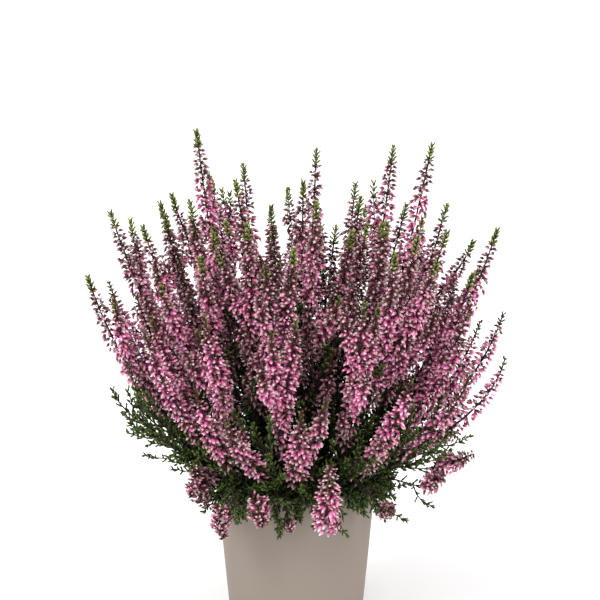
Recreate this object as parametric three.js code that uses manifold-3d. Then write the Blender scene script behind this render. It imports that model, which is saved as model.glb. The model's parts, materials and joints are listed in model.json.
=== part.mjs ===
// A potted heather: a tapered pot, the root ball that fills it, leafy woody stems that rise from the soil
// in clumps, and a flower spike set with closed buds on the end of each stem.
// Millimetres, +Z up. The origin is the middle of the pot's underside, where it rests. -Y is the front.

import * as THREE from 'three'
import { mergeVertices } from 'three/addons/utils/BufferGeometryUtils.js'
import Module from 'manifold-3d'

const wasm = await Module()
wasm.setup()

// ---- Driving dimensions ----

const pot = {
  height: 93, rimRadius: 55, baseRadius: 46.5, wall: 2.2, floor: 2.6, edgeRound: 0.7, sides: 36,
  drains: 4, drainRadius: 4, drainRing: 27, drainSides: 10,
}
const soil = { belowRim: 11, mound: 3, crumb: 1.1, sides: 24, rings: 4 }
const seatGap = 0.3 // between two pieces that rest on each other

// The clumps: one crown in the middle of the soil and the rest on a ring round it.
const crown = { onRing: 7, ringRadius: 31, ringTurn: 0.2, radius: 3, depth: 16, rise: 2.5, sides: 8 }

// A leafy stem: a slim three-sided core whose corners are drawn out into needles, one at each station.
const stem = {
  columns: 3, baseRadius: 1.7, endRadius: 1.15, barePart: 0.4, barePitch: 16, pitch: 5.2, reach: 5.5, lean: 2.8,
}

// A flower spike: a core whose surface is raised into buds, which nod a little, and a small leafy end.
const bloom = {
  columns: 6, pitch: 11, core: 0.36, nod: 1.6, leafyEnd: 11, leafyRadius: 2.6, fullAt: 60, footTaper: 14,
}

// Shoots rise steeply from the crown, and the low ones spread first: limits of that spread, and how fast
// it grows with the ratio of a tip's reach to its rise.
const spread = { least: 0.56, most: 0.95, atHalf: 0.62, growth: 0.45, leastRise: 50 }

// Tips of the upright flower spikes: x, y, z, then the length and the radius of the flowering part.
// A row that starts with 'fork' grows out of the spike above it: its tip, then its radius.
const spikes = [
  [-125, 5, 277, 130, 6.6],
  ['fork', -114, 40, 265, 5.8],
  [-101, -30, 274, 120, 6.6],
  ['fork', -88, -60, 241, 6.2],
  [-94, 50, 275, 120, 6.4],
  ['fork', -90, 36, 268, 5.2],
  [-70, -25, 290, 135, 6.8],
  ['fork', -62, -55, 258, 6.6],
  [-67, 15, 331, 165, 6.8],
  ['fork', -84, 10, 288, 6.4],
  ['fork', -43, 25, 254, 5.6],
  [-59, 55, 291, 125, 6.4],
  ['fork', -70, 74, 238, 6],
  [-40, -15, 302, 145, 6.8],
  ['fork', -52, -35, 257, 6.2],
  [-140, -10, 236, 110, 6.8],
  ['fork', -120, -40, 228, 6.4],
  [-37, 70, 298, 125, 6.2],
  ['fork', -30, 92, 232, 6],
  [-32, -50, 279, 135, 6.6],
  ['fork', -10, -20, 253, 5.8],
  [5, 5, 298, 135, 6.8],
  [14, 35, 314, 140, 6.6],
  ['fork', 18, 66, 256, 6.2],
  [14, -45, 293, 160, 7.4],
  ['fork', 28, -76, 236, 6.8],
  [-20, -65, 257, 120, 6.8],
  ['fork', -1, -70, 267, 6.8],
  [37, -20, 268, 120, 6.6],
  ['fork', 44, 20, 284, 6],
  [66, 25, 318, 150, 6.8],
  [91, 0, 324, 155, 6.8],
  [77, 60, 272, 115, 6.4],
  ['fork', 98, 70, 232, 6],
  [62, -40, 278, 130, 7],
  [104, 45, 274, 120, 6.4],
  ['fork', 122, 30, 252, 5.8],
  [100, -30, 271, 130, 6.8],
  [77, -55, 272, 130, 7],
  ['fork', 64, -75, 264, 6.6],
  ['fork', 92, -62, 257, 6.6],
  [135, -5, 267, 125, 6.6],
  [-99, -65, 211, 95, 7],
  [-59, -85, 226, 110, 7.6],
  [-16, -95, 218, 105, 7.2],
  ['fork', 0, -90, 225, 6.8],
  [44, -90, 236, 120, 7.4],
  ['fork', 54, -84, 234, 6.4],
  [115, -45, 224, 105, 7],
  [142, 10, 207, 100, 6.8],
  [140, -25, 183, 90, 6.8],
  [114, -65, 183, 85, 7.2],
  [68, -100, 188, 95, 7.8],
  [-64, -100, 180, 85, 7.4],
  [-45, -106, 166, 75, 7.4],
  [3, -115, 171, 85, 8.4],
  ['fork', 20, -110, 178, 7],
  // the rear
  [-112, 78, 226, 100, 6.8],
  ['fork', -130, 48, 206, 6.2],
  [-74, 98, 244, 110, 6.8],
  ['fork', -50, 112, 205, 6.6],
  [-18, 105, 262, 120, 6.8],
  ['fork', 6, 124, 214, 6.6],
  [42, 88, 282, 125, 6.6],
  ['fork', 46, 118, 226, 6.6],
  [86, 92, 236, 110, 6.8],
  ['fork', 122, 74, 206, 6.4],
  [-86, 104, 168, 75, 7],
  ['fork', -60, 114, 152, 6.2],
  [24, 126, 158, 72, 7.2],
  [104, 94, 158, 72, 7],
  ['fork', 74, 108, 146, 6.2],
]

// Low sprays whose routes bend over the rim: points from the soil to the tip, then length and radius.
// Those of length 0 are leafy only.
const rimSprays = [
  [[[-40, -20, 98], [-56, -38, 101], [-70, -50, 116]], 27, 5.4],
  [[[-38, -36, 99], [-47, -53, 101], [-50, -64, 88], [-48, -68, 70]], 24, 5.6],
  [[[-20, -44, 99], [-30, -62, 104], [-26, -78, 98], [-20, -84, 84]], 22, 6],
  [[[10, -44, 99], [16, -68, 103], [17, -86, 90], [19, -99, 92], [23, -105, 133]], 50, 6.6],
  [[[38, -34, 99], [48, -48, 102], [58, -60, 88], [66, -66, 93]], 16, 5],
  [[[42, -8, 98], [66, -14, 104], [92, -18, 104], [121, -20, 115]], 34, 5.6],
  [[[40, -20, 98], [64, -32, 101], [84, -38, 98], [100, -42, 105]], 18, 5.2],
  [[[-30, -40, 99], [-42, -58, 104], [-40, -70, 97], [-37, -76, 84]], 0, 0],
  [[[-6, -46, 99], [-12, -62, 104], [-13, -72, 96], [-10, -77, 80]], 0, 0],
  [[[34, -38, 99], [42, -52, 104], [50, -62, 98], [53, -68, 90]], 0, 0],
]

// Tips of the leafy shoots that carry no flowers.
const leafyTips = [
  [-124, -20, 161], [-106, -42, 150], [-18, -92, 136], [79, -72, 147], [118, 14, 150],
  [-112, 40, 146], [40, 96, 132], [-40, 98, 134], [-66, -70, 130], [-28, -64, 142], [46, -68, 134], [86, -30, 126],
  [-86, 4, 128], [70, 56, 130], [-64, 66, 132],
]

// ---- Materials ----

const finish = (colour, roughness) => new THREE.MeshStandardMaterial({ color: colour, roughness, metalness: 0 })
const finishes = {
  pot: finish('#a3968d', 0.6),
  soil: finish('#3b2c22', 0.95),
  leaf: finish('#4c6128', 0.7),
  flower: finish('#c477a3', 0.65),
}

// ---- Solids and meshes ----

// Merges the corners that triangles share and drops the slivers that a pole leaves.
function closedGeometry(geometry) {
  geometry.deleteAttribute('normal')
  geometry.deleteAttribute('uv')
  const merged = mergeVertices(geometry, 1e-4)
  const corners = merged.index.array
  const kept = []
  for (let i = 0; i < corners.length; i += 3) {
    const [a, b, c] = [corners[i], corners[i + 1], corners[i + 2]]
    if (a !== b && b !== c && c !== a) kept.push(a, b, c)
  }
  merged.setIndex(kept)
  return merged
}

function toSolid(geometry) {
  const closed = closedGeometry(geometry)
  const vertProperties = new Float32Array(closed.attributes.position.array)
  const triVerts = new Uint32Array(closed.index.array)
  return new wasm.Manifold(new wasm.Mesh({ numProp: 3, vertProperties, triVerts }))
}

// The largest body of a solid, without the scraps and sealed hollows that joining can leave.
function toGeometry(solid) {
  const bodies = solid.decompose().sort((a, b) => b.volume() - a.volume())
  const { vertProperties, triVerts } = bodies[0].getMesh()
  const geometry = new THREE.BufferGeometry()
  geometry.setAttribute('position', new THREE.BufferAttribute(new Float32Array(vertProperties), 3))
  geometry.setIndex([...triVerts])
  return geometry
}

function namedMesh(name, geometry, material) {
  geometry.computeVertexNormals()
  const mesh = new THREE.Mesh(geometry, material)
  mesh.name = name
  return mesh
}

// An upright cylinder from one height to another.
function uprightCylinder(radius, x, y, low, high, sides) {
  const geometry = new THREE.CylinderGeometry(radius, radius, high - low, sides)
  geometry.rotateX(Math.PI / 2)
  geometry.translate(x, y, (low + high) / 2)
  return toSolid(geometry)
}

// A profile of [radius, height] points turned about the Z axis.
function turned(profile, sides) {
  const points = profile.map(([radius, height]) => new THREE.Vector2(radius, height))
  return new THREE.LatheGeometry(points, sides).rotateX(Math.PI / 2)
}

// ---- Pot and soil ----

const wallRadiusAt = height => THREE.MathUtils.lerp(pot.baseRadius, pot.rimRadius, height / pot.height)

function makePot() {
  const { height, rimRadius, baseRadius, wall, floor, edgeRound } = pot
  const profile = [
    [0, 0], [baseRadius - edgeRound, 0], [baseRadius, edgeRound],
    [rimRadius, height - edgeRound], [rimRadius - edgeRound, height],
    [rimRadius - wall + edgeRound, height], [rimRadius - wall, height - edgeRound],
    [wallRadiusAt(floor) - wall, floor], [0, floor],
  ]
  let solid = toSolid(turned(profile, pot.sides))
  for (let k = 0; k < pot.drains; k++) {
    const turn = (k + 0.5) * 2 * Math.PI / pot.drains
    const [x, y] = [pot.drainRing * Math.cos(turn), pot.drainRing * Math.sin(turn)]
    solid = solid.subtract(uprightCylinder(pot.drainRadius, x, y, -1, floor + 1, pot.drainSides))
  }
  return toGeometry(solid)
}

const soilEdge = pot.height - soil.belowRim
const soilHeightAt = radius => soilEdge + soil.mound * (1 - (radius / pot.rimRadius) ** 2)

const crowns = [[0, 2]]
for (let k = 0; k < crown.onRing; k++) {
  const turn = crown.ringTurn + k * 2 * Math.PI / crown.onRing
  crowns.push([crown.ringRadius * Math.cos(turn), crown.ringRadius * Math.sin(turn)])
}
const crownTop = ([x, y]) => soilHeightAt(Math.hypot(x, y)) + crown.rise
const crownBottom = at => crownTop(at) - crown.depth

// The root ball: its top is a low mound raised into crumbs, with a plain hole for each crown.
function makeSoil() {
  const low = pot.floor + seatGap
  const inner = height => wallRadiusAt(height) - pot.wall - 2 * seatGap
  const profile = [[0, low], [inner(low), low], [inner(soilEdge), soilEdge]]
  for (let ring = soil.rings - 1; ring >= 0; ring--) {
    const radius = inner(soilEdge) * ring / soil.rings
    profile.push([radius, soilHeightAt(radius)])
  }
  const geometry = turned(profile, soil.sides)
  const position = geometry.attributes.position
  for (let i = 0; i < position.count; i++) {
    const [x, y, z] = [position.getX(i), position.getY(i), position.getZ(i)]
    const crumbs = Math.sin(0.61 * x + 0.3 * y) * Math.sin(0.53 * y - 0.2 * x) + 0.6 * Math.sin(0.9 * x - 0.8 * y)
    if (z > soilEdge + 0.01) position.setZ(i, z + soil.crumb * crumbs)
  }
  let solid = toSolid(geometry)
  for (const at of crowns) {
    const hole = crown.radius + seatGap + 0.15
    solid = solid.subtract(uprightCylinder(hole, ...at, crownBottom(at) - seatGap, pot.height, crown.sides))
  }
  return toGeometry(solid)
}

// ---- Routes of the shoots ----

const nearestCrown = (x, y) => {
  const pull = crown.ringRadius / 108
  const distances = crowns.map(([cx, cy]) => Math.hypot(cx - pull * x, cy - pull * y))
  return distances.indexOf(Math.min(...distances))
}

// A shoot's bend point: low, wide shoots spread first and turn up late.
function bendPoint(root, tip) {
  const reach = Math.hypot(tip.x - root.x, tip.y - root.y)
  const rise = Math.max(tip.z - root.z, 1)
  const share = spread.atHalf + spread.growth * (reach / rise - 0.5)
  const out = THREE.MathUtils.clamp(share, spread.least, spread.most)
  const up = Math.max((1 - out) * rise, Math.min(spread.leastRise, 0.7 * reach))
  return new THREE.Vector3(
    root.x + out * (tip.x - root.x), root.y + out * (tip.y - root.y), root.z + up)
}

const rootOf = clump => new THREE.Vector3(...crowns[clump], crownTop(crowns[clump]) - 1.5)

function routeTo(root, tip) {
  return new THREE.QuadraticBezierCurve3(root, bendPoint(root, tip), tip)
}

// Reads the rows above into shoots that know their clump, their parent and their flowering length.
function readShoots() {
  const shoots = []
  for (const row of spikes) {
    const fork = row[0] === 'fork'
    const [x, y, z] = fork ? row.slice(1) : row
    const radius = row.at(-1)
    const length = fork ? 0 : row[3]
    const parent = fork ? shoots.findLast(shoot => !shoot.parent) : null
    const clump = parent ? parent.clump : nearestCrown(x, y)
    shoots.push({ tip: new THREE.Vector3(x, y, z), length, radius, parent, clump, free: true })
  }
  for (const [points, length, radius] of rimSprays) {
    const bends = points.map(point => new THREE.Vector3(...point))
    const tip = bends.at(-1)
    const clump = nearestCrown(tip.x, tip.y)
    shoots.push({ tip, bends, length, radius, parent: null, clump, free: false })
  }
  for (const [x, y, z] of leafyTips) {
    const clump = nearestCrown(x, y)
    shoots.push({ tip: new THREE.Vector3(x, y, z), length: 0, radius: 0, parent: null, clump, free: true })
  }
  return shoots
}

const forkSeat = 0.3 // share of its parent's flowering length below a fork

function layRoute(shoot) {
  if (shoot.bends) {
    shoot.route = new THREE.CatmullRomCurve3([rootOf(shoot.clump), ...shoot.bends], false, 'centripetal')
  } else if (shoot.parent) {
    const { route, length } = shoot.parent
    const total = route.getLength()
    shoot.route = routeTo(route.getPointAt((total - (1 - forkSeat) * length) / total), shoot.tip)
  } else {
    shoot.route = routeTo(rootOf(shoot.clump), shoot.tip)
  }
  shoot.total = shoot.route.getLength()
  if (shoot.parent) shoot.length = shoot.total
  shoot.flowersFrom = Math.max(shoot.total - shoot.length, 0)
}

// Radius that a spike's buds reach, from the distance to its tip: narrow at the end, full lower down, and
// drawn in again at its foot.
function bloomRadius(shoot, fromTip) {
  const leafyEnd = Math.min(0.6 * bloom.leafyEnd, 0.15 * shoot.length)
  const full = THREE.MathUtils.smoothstep(fromTip, leafyEnd, Math.min(bloom.fullAt, 0.7 * shoot.length))
  const taper = Math.min(bloom.footTaper, 0.3 * shoot.length)
  const foot = THREE.MathUtils.smoothstep(shoot.length - fromTip, -taper, taper)
  return foot * THREE.MathUtils.lerp(bloom.leafyRadius, shoot.radius, full)
}

const bodyRadiusAt = (shoot, s) => {
  if (s >= shoot.flowersFrom && shoot.length > 0) return bloomRadius(shoot, shoot.total - s)
  return stem.baseRadius
}

// Points along a route with the radius of the body round each.
const settleSteps = 34
function sampleRoute(shoot) {
  const samples = []
  for (let k = 0; k <= settleSteps; k++) {
    const s = shoot.total * k / settleSteps
    const point = shoot.route.getPointAt(k / settleSteps)
    samples.push({ point, radius: bodyRadiusAt(shoot, s), share: k / settleSteps, green: s < shoot.flowersFrom })
  }
  return samples
}

const headOf = shoot => shoot.parent ?? shoot
const sameNode = (a, b) => headOf(a) === headOf(b)
const settle = {
  rounds: 120, clear: 1.6, enough: 0.05, sideways: 0.35, leastShare: 0.3, strength: 0.6, stepX: 2, stepY: 4,
}

// Moves tips apart, mostly front to back, until no two bodies are closer than the clearance.
function settleShoots(shoots) {
  for (let round = 0; round < settle.rounds; round++) {
    shoots.forEach(layRoute)
    const samples = shoots.map(sampleRoute)
    const shift = shoots.map(() => new THREE.Vector2())
    let worst = 0
    shoots.forEach((a, i) => shoots.slice(i + 1).forEach((b, offset) => {
      if (sameNode(a, b)) return
      const j = i + 1 + offset
      let tightest = null
      for (const p of samples[i]) {
        for (const q of samples[j]) {
          if (a.clump === b.clump && p.green && q.green) continue
          const short = p.radius + q.radius + settle.clear - p.point.distanceTo(q.point)
          if (short > 0 && (!tightest || short > tightest.short)) tightest = { short, p, q }
        }
      }
      if (!tightest) return
      worst = Math.max(worst, tightest.short)
      const { short, p, q } = tightest
      const away = new THREE.Vector2(settle.sideways * (p.point.x - q.point.x), p.point.y - q.point.y)
      if (away.length() < 0.5) away.set(0, i % 2 ? 1 : -1)
      away.normalize()
      const push = settle.strength * short * (a.free && b.free ? 0.5 : 1)
      if (a.free) shift[i].addScaledVector(away, push / Math.max(p.share, settle.leastShare))
      if (b.free) shift[j].addScaledVector(away, -push / Math.max(q.share, settle.leastShare))
    }))
    if (worst < settle.enough) break
    shoots.forEach((shoot, i) => {
      shoot.tip.x += THREE.MathUtils.clamp(shift[i].x, -settle.stepX, settle.stepX)
      shoot.tip.y += THREE.MathUtils.clamp(shift[i].y, -settle.stepY, settle.stepY)
    })
  }
  shoots.forEach(layRoute)
}

// ---- Surfaces along a route ----

// Stations along a route, each with its point, its direction and two side directions, without twist.
function framesAlong(route, total, stations) {
  const side = new THREE.Vector3(0.83, 0.55, 0.08)
  return stations.map(s => {
    const share = THREE.MathUtils.clamp(s / total, 0, 1)
    const along = route.getTangentAt(share)
    side.addScaledVector(along, -side.dot(along)).normalize()
    const across = new THREE.Vector3().crossVectors(along, side)
    return { point: route.getPointAt(share), along, side: side.clone(), across }
  })
}

// A closed tube of rings round a route. shape(ring, column) gives each corner's distance out from the
// route, its shift along it and an extra turn. It has a flat foot and ends in a point.
function raisedTube(frames, columns, shape, endShift) {
  const positions = []
  const outs = []
  frames.forEach((frame, ring) => {
    for (let column = 0; column < columns; column++) {
      const { out, shift } = shape(ring, column)
      const turn = 2 * Math.PI * column / columns
      const corner = frame.point.clone()
        .addScaledVector(frame.side, out * Math.cos(turn))
        .addScaledVector(frame.across, out * Math.sin(turn))
        .addScaledVector(frame.along, shift)
      positions.push(...corner)
      outs.push(out)
    }
  })
  const last = frames.at(-1)
  const foot = positions.length / 3
  positions.push(...frames[0].point)
  positions.push(...last.point.clone().addScaledVector(last.along, endShift))
  const index = []
  const at = (ring, column) => ring * columns + column % columns
  for (let ring = 0; ring < frames.length - 1; ring++) {
    for (let column = 0; column < columns; column++) {
      const [a, b] = [at(ring, column), at(ring, column + 1)]
      const [c, d] = [at(ring + 1, column), at(ring + 1, column + 1)]
      if (outs[a] + outs[d] < outs[b] + outs[c]) index.push(a, b, d, a, d, c)
      else index.push(a, b, c, b, d, c)
    }
  }
  for (let column = 0; column < columns; column++) {
    index.push(foot, at(0, column + 1), at(0, column))
    index.push(foot + 1, at(frames.length - 1, column), at(frames.length - 1, column + 1))
  }
  const geometry = new THREE.BufferGeometry()
  geometry.setAttribute('position', new THREE.BufferAttribute(new Float32Array(positions), 3))
  geometry.setIndex(index)
  return geometry
}

const evenStations = (from, to, pitch) => {
  const count = Math.max(Math.round((to - from) / pitch), 2)
  return Array.from({ length: count + 1 }, (_, k) => from + (to - from) * k / count)
}

// The buds of one spike. Every second corner of the core is raised into a bud.
function spikeSolid(shoot) {
  const from = shoot.parent ? 0 : shoot.flowersFrom + seatGap
  const endLength = 4
  const stations = evenStations(from, shoot.total - endLength, bloom.pitch)
  const frames = framesAlong(shoot.route, shoot.total, stations)
  const shape = (ring, column) => {
    const fromTip = shoot.total - stations[ring]
    const reach = bloomRadius(shoot, fromTip)
    const core = Math.max(bloom.core * reach, stem.endRadius * 0.9)
    const raised = (ring + column) % 2 === 0 && ring > 0
    const rooted = shoot.parent && stations[ring] < 0.6 * shoot.parent.radius
    if (!raised || rooted) return { out: ring === 0 ? stem.endRadius : core, shift: 0 }
    const leafy = fromTip < bloom.leafyEnd
    return { out: reach, shift: leafy ? bloom.nod : -bloom.nod }
  }
  return toSolid(raisedTube(frames, bloom.columns, shape, endLength))
}

// ---- Needles and what they must clear ----

const obstacles = [] // { from, to, radius, owner }

function addObstacles(shoot, owner, from, to, radiusAt) {
  const steps = Math.max(Math.ceil((to - from) / 6), 1)
  for (let k = 0; k < steps; k++) {
    const [s0, s1] = [from + (to - from) * k / steps, from + (to - from) * (k + 1) / steps]
    const radius = Math.max(radiusAt(s0), radiusAt(s1))
    const point = s => shoot.route.getPointAt(THREE.MathUtils.clamp(s / shoot.total, 0, 1))
    obstacles.push({ line: new THREE.Line3(point(s0), point(s1)), radius, owner })
  }
}

const needle = { thickness: 0.9, clear: 0.7 }
const nearest = new THREE.Vector3()
function isClear(points, owner) {
  return obstacles.every(({ line, radius, owner: other }) => {
    if (other === owner) return true
    return points.every(point => {
      line.closestPointToPoint(point, true, nearest)
      return nearest.distanceTo(point) > radius + needle.thickness + needle.clear
    })
  })
}

// The pot and the soil also keep the needles off.
function clearOfPot(point) {
  const radius = Math.hypot(point.x, point.y)
  const margin = needle.thickness + needle.clear
  if (point.z > pot.height + margin) return true
  if (radius > pot.rimRadius + margin) return radius > wallRadiusAt(Math.min(point.z, pot.height)) + margin
  return radius < pot.rimRadius - pot.wall - margin && point.z > soilHeightAt(radius) + 2 * soil.crumb + margin
}

// One leafy stem. A corner of its core is drawn out into a needle at each station, turning round it.
function stemSolid(shoot, owner) {
  const to = shoot.length > 0 ? shoot.flowersFrom : shoot.total - 3
  const woodyTo = stem.barePart * to
  const woody = evenStations(0, woodyTo, stem.barePitch)
  const stations = [...woody.slice(0, -1), ...evenStations(woodyTo, to, stem.pitch)]
  const frames = framesAlong(shoot.route, shoot.total, stations)
  const last = stations.length - 1
  const coreAt = ring => THREE.MathUtils.lerp(stem.baseRadius, stem.endRadius, ring / last)
  const needles = stations.map((s, ring) => {
    if (s < woodyTo || ring === last || ring === 0) return null
    const column = ring % stem.columns
    const turn = 2 * Math.PI * column / stem.columns
    const { point, along, side, across } = frames[ring]
    const outward = side.clone().multiplyScalar(Math.cos(turn)).addScaledVector(across, Math.sin(turn))
    for (const reach of [stem.reach, 0.75 * stem.reach]) {
      const end = point.clone().addScaledVector(outward, reach).addScaledVector(along, stem.lean)
      const middle = point.clone().addScaledVector(outward, 0.55 * reach).addScaledVector(along, 0.3 * stem.lean)
      const fin = point.clone().addScaledVector(outward, 0.5 * reach).addScaledVector(along, -0.3 * stem.lean)
      const points = [end, middle, fin]
      if (points.every(clearOfPot) && isClear(points, owner)) {
        obstacles.push({ line: new THREE.Line3(middle, end), radius: needle.thickness, owner })
        return { column, reach }
      }
    }
    return null
  })
  const shape = (ring, column) => {
    const drawn = needles[ring]?.column === column
    if (drawn) return { out: needles[ring].reach, shift: stem.lean }
    return { out: coreAt(ring), shift: 0 }
  }
  const endShift = shoot.length > 0 ? 0 : 3
  return toSolid(raisedTube(frames, stem.columns, shape, endShift))
}

function makeClump(clump, shoots) {
  const at = crowns[clump]
  let solid = uprightCylinder(crown.radius, ...at, crownBottom(at), crownTop(at), crown.sides)
  for (const shoot of shoots) {
    if (shoot.clump === clump && !shoot.parent) solid = solid.add(stemSolid(shoot, clump))
  }
  return toGeometry(solid)
}

function makeSpike(shoot, shoots) {
  let solid = spikeSolid(shoot)
  for (const fork of shoots) {
    if (fork.parent === shoot) solid = solid.add(spikeSolid(fork))
  }
  return toGeometry(solid)
}

// ---- The whole plant ----

const shoots = readShoots()
settleShoots(shoots)

shoots.forEach((shoot, i) => {
  const flowers = s => bodyRadiusAt(shoot, s)
  if (shoot.length > 0) addObstacles(shoot, `spike ${i}`, shoot.flowersFrom, shoot.total, flowers)
  if (!shoot.parent) addObstacles(shoot, shoot.clump, 0, shoot.flowersFrom, () => stem.baseRadius)
})

const group = new THREE.Group()
group.add(namedMesh('pot', makePot(), finishes.pot))
group.add(namedMesh('soil', makeSoil(), finishes.soil))
crowns.forEach((_, clump) => {
  const name = `leafy_stems_${String(clump + 1).padStart(2, '0')}`
  group.add(namedMesh(name, makeClump(clump, shoots), finishes.leaf))
})
const heads = shoots.filter(shoot => shoot.length > 0 && !shoot.parent)
heads.forEach((shoot, k) => {
  const name = `flower_spike_${String(k + 1).padStart(2, '0')}`
  group.add(namedMesh(name, makeSpike(shoot, shoots), finishes.flower))
})

export default group
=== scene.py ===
# A potted heather in bloom: a smooth tapered pot, its soil, woody stems with scaly leafy side shoots, and
# upright flower spikes set with closed buds. Layout in millimetres, meshes in metres, +Z up, -Y the front.
import json
import math

import bpy
import numpy as np
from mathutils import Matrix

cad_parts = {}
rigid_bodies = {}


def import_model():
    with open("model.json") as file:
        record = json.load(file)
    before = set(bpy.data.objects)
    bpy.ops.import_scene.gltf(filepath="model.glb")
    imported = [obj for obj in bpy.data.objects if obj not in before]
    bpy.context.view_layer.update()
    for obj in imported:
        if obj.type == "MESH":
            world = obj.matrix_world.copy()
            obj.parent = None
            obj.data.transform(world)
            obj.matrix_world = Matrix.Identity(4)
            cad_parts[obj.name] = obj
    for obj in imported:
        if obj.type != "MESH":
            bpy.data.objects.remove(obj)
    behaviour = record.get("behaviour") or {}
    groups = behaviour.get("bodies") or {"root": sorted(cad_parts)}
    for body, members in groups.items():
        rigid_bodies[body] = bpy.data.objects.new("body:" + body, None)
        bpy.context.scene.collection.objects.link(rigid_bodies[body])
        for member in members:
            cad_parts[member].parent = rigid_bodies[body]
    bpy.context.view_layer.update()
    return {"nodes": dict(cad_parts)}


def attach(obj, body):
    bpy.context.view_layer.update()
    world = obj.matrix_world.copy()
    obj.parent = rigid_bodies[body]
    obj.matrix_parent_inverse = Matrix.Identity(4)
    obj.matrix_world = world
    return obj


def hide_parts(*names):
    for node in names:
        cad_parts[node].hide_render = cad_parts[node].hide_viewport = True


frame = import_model()
mm = 0.001
up = np.array([0.0, 0.0, 1.0])
print("frame loaded:", len(frame["nodes"]), "nodes")


# Camera, lights and floor

view = {
    "distance": 1.6, "elevation": 13, "target": (0.0027, 0, 0.2174), "fieldWidth": 0.4062, "sensorWidth": 36,
    "clip": (0.05, 50),
}
studio = {
    "worldStrength": 0.78, "worldColour": "#ffffff", "floorSize": 60, "floorColour": "#ffffff",
    "floorRoughness": 0.9,
    # broad, far soft boxes. Name: the way from the plant to the lamp, how wide it looks in degrees, strength
    "lamps": {
        "leftSoftBox": ((-1.0, -0.6, 1.2), 30, 2.0),
        "rightSoftBox": ((1.0, -0.6, 1.2), 32, 1.6),
    },
}


def colour(text):
    # A screen colour such as #a0b0c0 as linear light, with full opacity.
    parts = np.array([int(text[k:k + 2], 16) for k in (1, 3, 5)]) / 255
    linear = np.where(parts <= 0.04045, parts / 12.92, ((parts + 0.055) / 1.055) ** 2.4)
    return (*(float(part) for part in linear), 1.0)


def makeCamera():
    data = bpy.data.cameras.new("viewCamera")
    data.sensor_width = view["sensorWidth"]
    data.lens = view["sensorWidth"] * view["distance"] / view["fieldWidth"]
    data.clip_start, data.clip_end = view["clip"]
    camera = bpy.data.objects.new("viewCamera", data)
    bpy.context.scene.collection.objects.link(camera)
    tilt = math.radians(view["elevation"])
    x, y, z = view["target"]
    camera.location = (x, y - view["distance"] * math.cos(tilt), z + view["distance"] * math.sin(tilt))
    camera.rotation_euler = (math.pi / 2 - tilt, 0, 0)
    bpy.context.scene.camera = camera


def makeLamps():
    for name, (way, width, strength) in studio["lamps"].items():
        data = bpy.data.lights.new(name, "SUN")
        data.angle = math.radians(width)
        data.energy = strength
        lamp = bpy.data.objects.new(name, data)
        bpy.context.scene.collection.objects.link(lamp)
        x, y, z = way
        lamp.location = way
        lamp.rotation_euler = (math.atan2(math.hypot(x, y), z), 0, math.atan2(x, -y))


def makeWorld():
    world = bpy.data.worlds.new("studioWorld")
    world.use_nodes = True
    background = world.node_tree.nodes["Background"]
    background.inputs["Color"].default_value = colour(studio["worldColour"])
    background.inputs["Strength"].default_value = studio["worldStrength"]
    bpy.context.scene.world = world
    settings = bpy.context.scene.view_settings
    settings.view_transform = "Standard"
    settings.look = "None"


# Node helpers

def setInputs(tree, node, values):
    # values holds, for a socket's name or number, a plain value or another node's output.
    for key, value in values.items():
        if isinstance(value, bpy.types.NodeSocket):
            tree.links.new(value, node.inputs[key])
        else:
            node.inputs[key].default_value = value


def addNode(tree, kind, values=None, **settings):
    node = tree.nodes.new(kind)
    for name, value in settings.items():
        setattr(node, name, value)
    setInputs(tree, node, values or {})
    return node


def doMath(tree, operation, *values):
    return addNode(tree, "ShaderNodeMath", dict(enumerate(values)), operation=operation).outputs[0]


def addRamp(tree, share, stops):
    # A colour ramp: stops are (place, colour) pairs in order.
    node = addNode(tree, "ShaderNodeValToRGB", {"Fac": share})
    elements = node.color_ramp.elements
    while len(elements) < len(stops):
        elements.new(0.5)
    for element, (place, shade) in zip(elements, stops):
        element.position = place
        element.color = colour(shade)
    return node.outputs["Color"]


def mixColours(tree, share, first, second):
    values = {"Factor": share, 6: first, 7: second}
    return addNode(tree, "ShaderNodeMix", values, data_type="RGBA").outputs[2]


def shareBetween(tree, value, ends, **settings):
    # How far a value lies on the way between two ends, from 0 to 1.
    values = {"Value": value, "From Min": ends[0], "From Max": ends[1]}
    return addNode(tree, "ShaderNodeMapRange", values, **settings).outputs[0]


def addNoise(tree, scale, detail):
    place = addNode(tree, "ShaderNodeTexCoord").outputs["Object"]
    values = {"Vector": place, "Scale": scale, "Detail": detail}
    return addNode(tree, "ShaderNodeTexNoise", values).outputs["Fac"]


def addBump(tree, height, strength, depth):
    values = {"Height": height, "Strength": strength, "Distance": depth}
    return addNode(tree, "ShaderNodeBump", values).outputs["Normal"]


def startMaterial(name, roughness):
    # An empty surface, its node tree and its shader.
    material = bpy.data.materials.new(name)
    material.use_nodes = True
    tree = material.node_tree
    shader = tree.nodes["Principled BSDF"]
    shader.inputs["Roughness"].default_value = roughness
    return material, tree, shader


# The map of the plant's pieces: across are strips, one for each tone, with the turn round a bud or leaf
# inside each strip. Up are three bands, for buds, leaves and stems, that run from foot to tip.
strips = {"tones": 16, "margin": 0.06}
bands = {"bud": (0.02, 0.46), "leaf": (0.52, 0.72), "stem": (0.78, 0.98)}
bandOrder = list(bands)  # the order of a piece's materials


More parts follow.
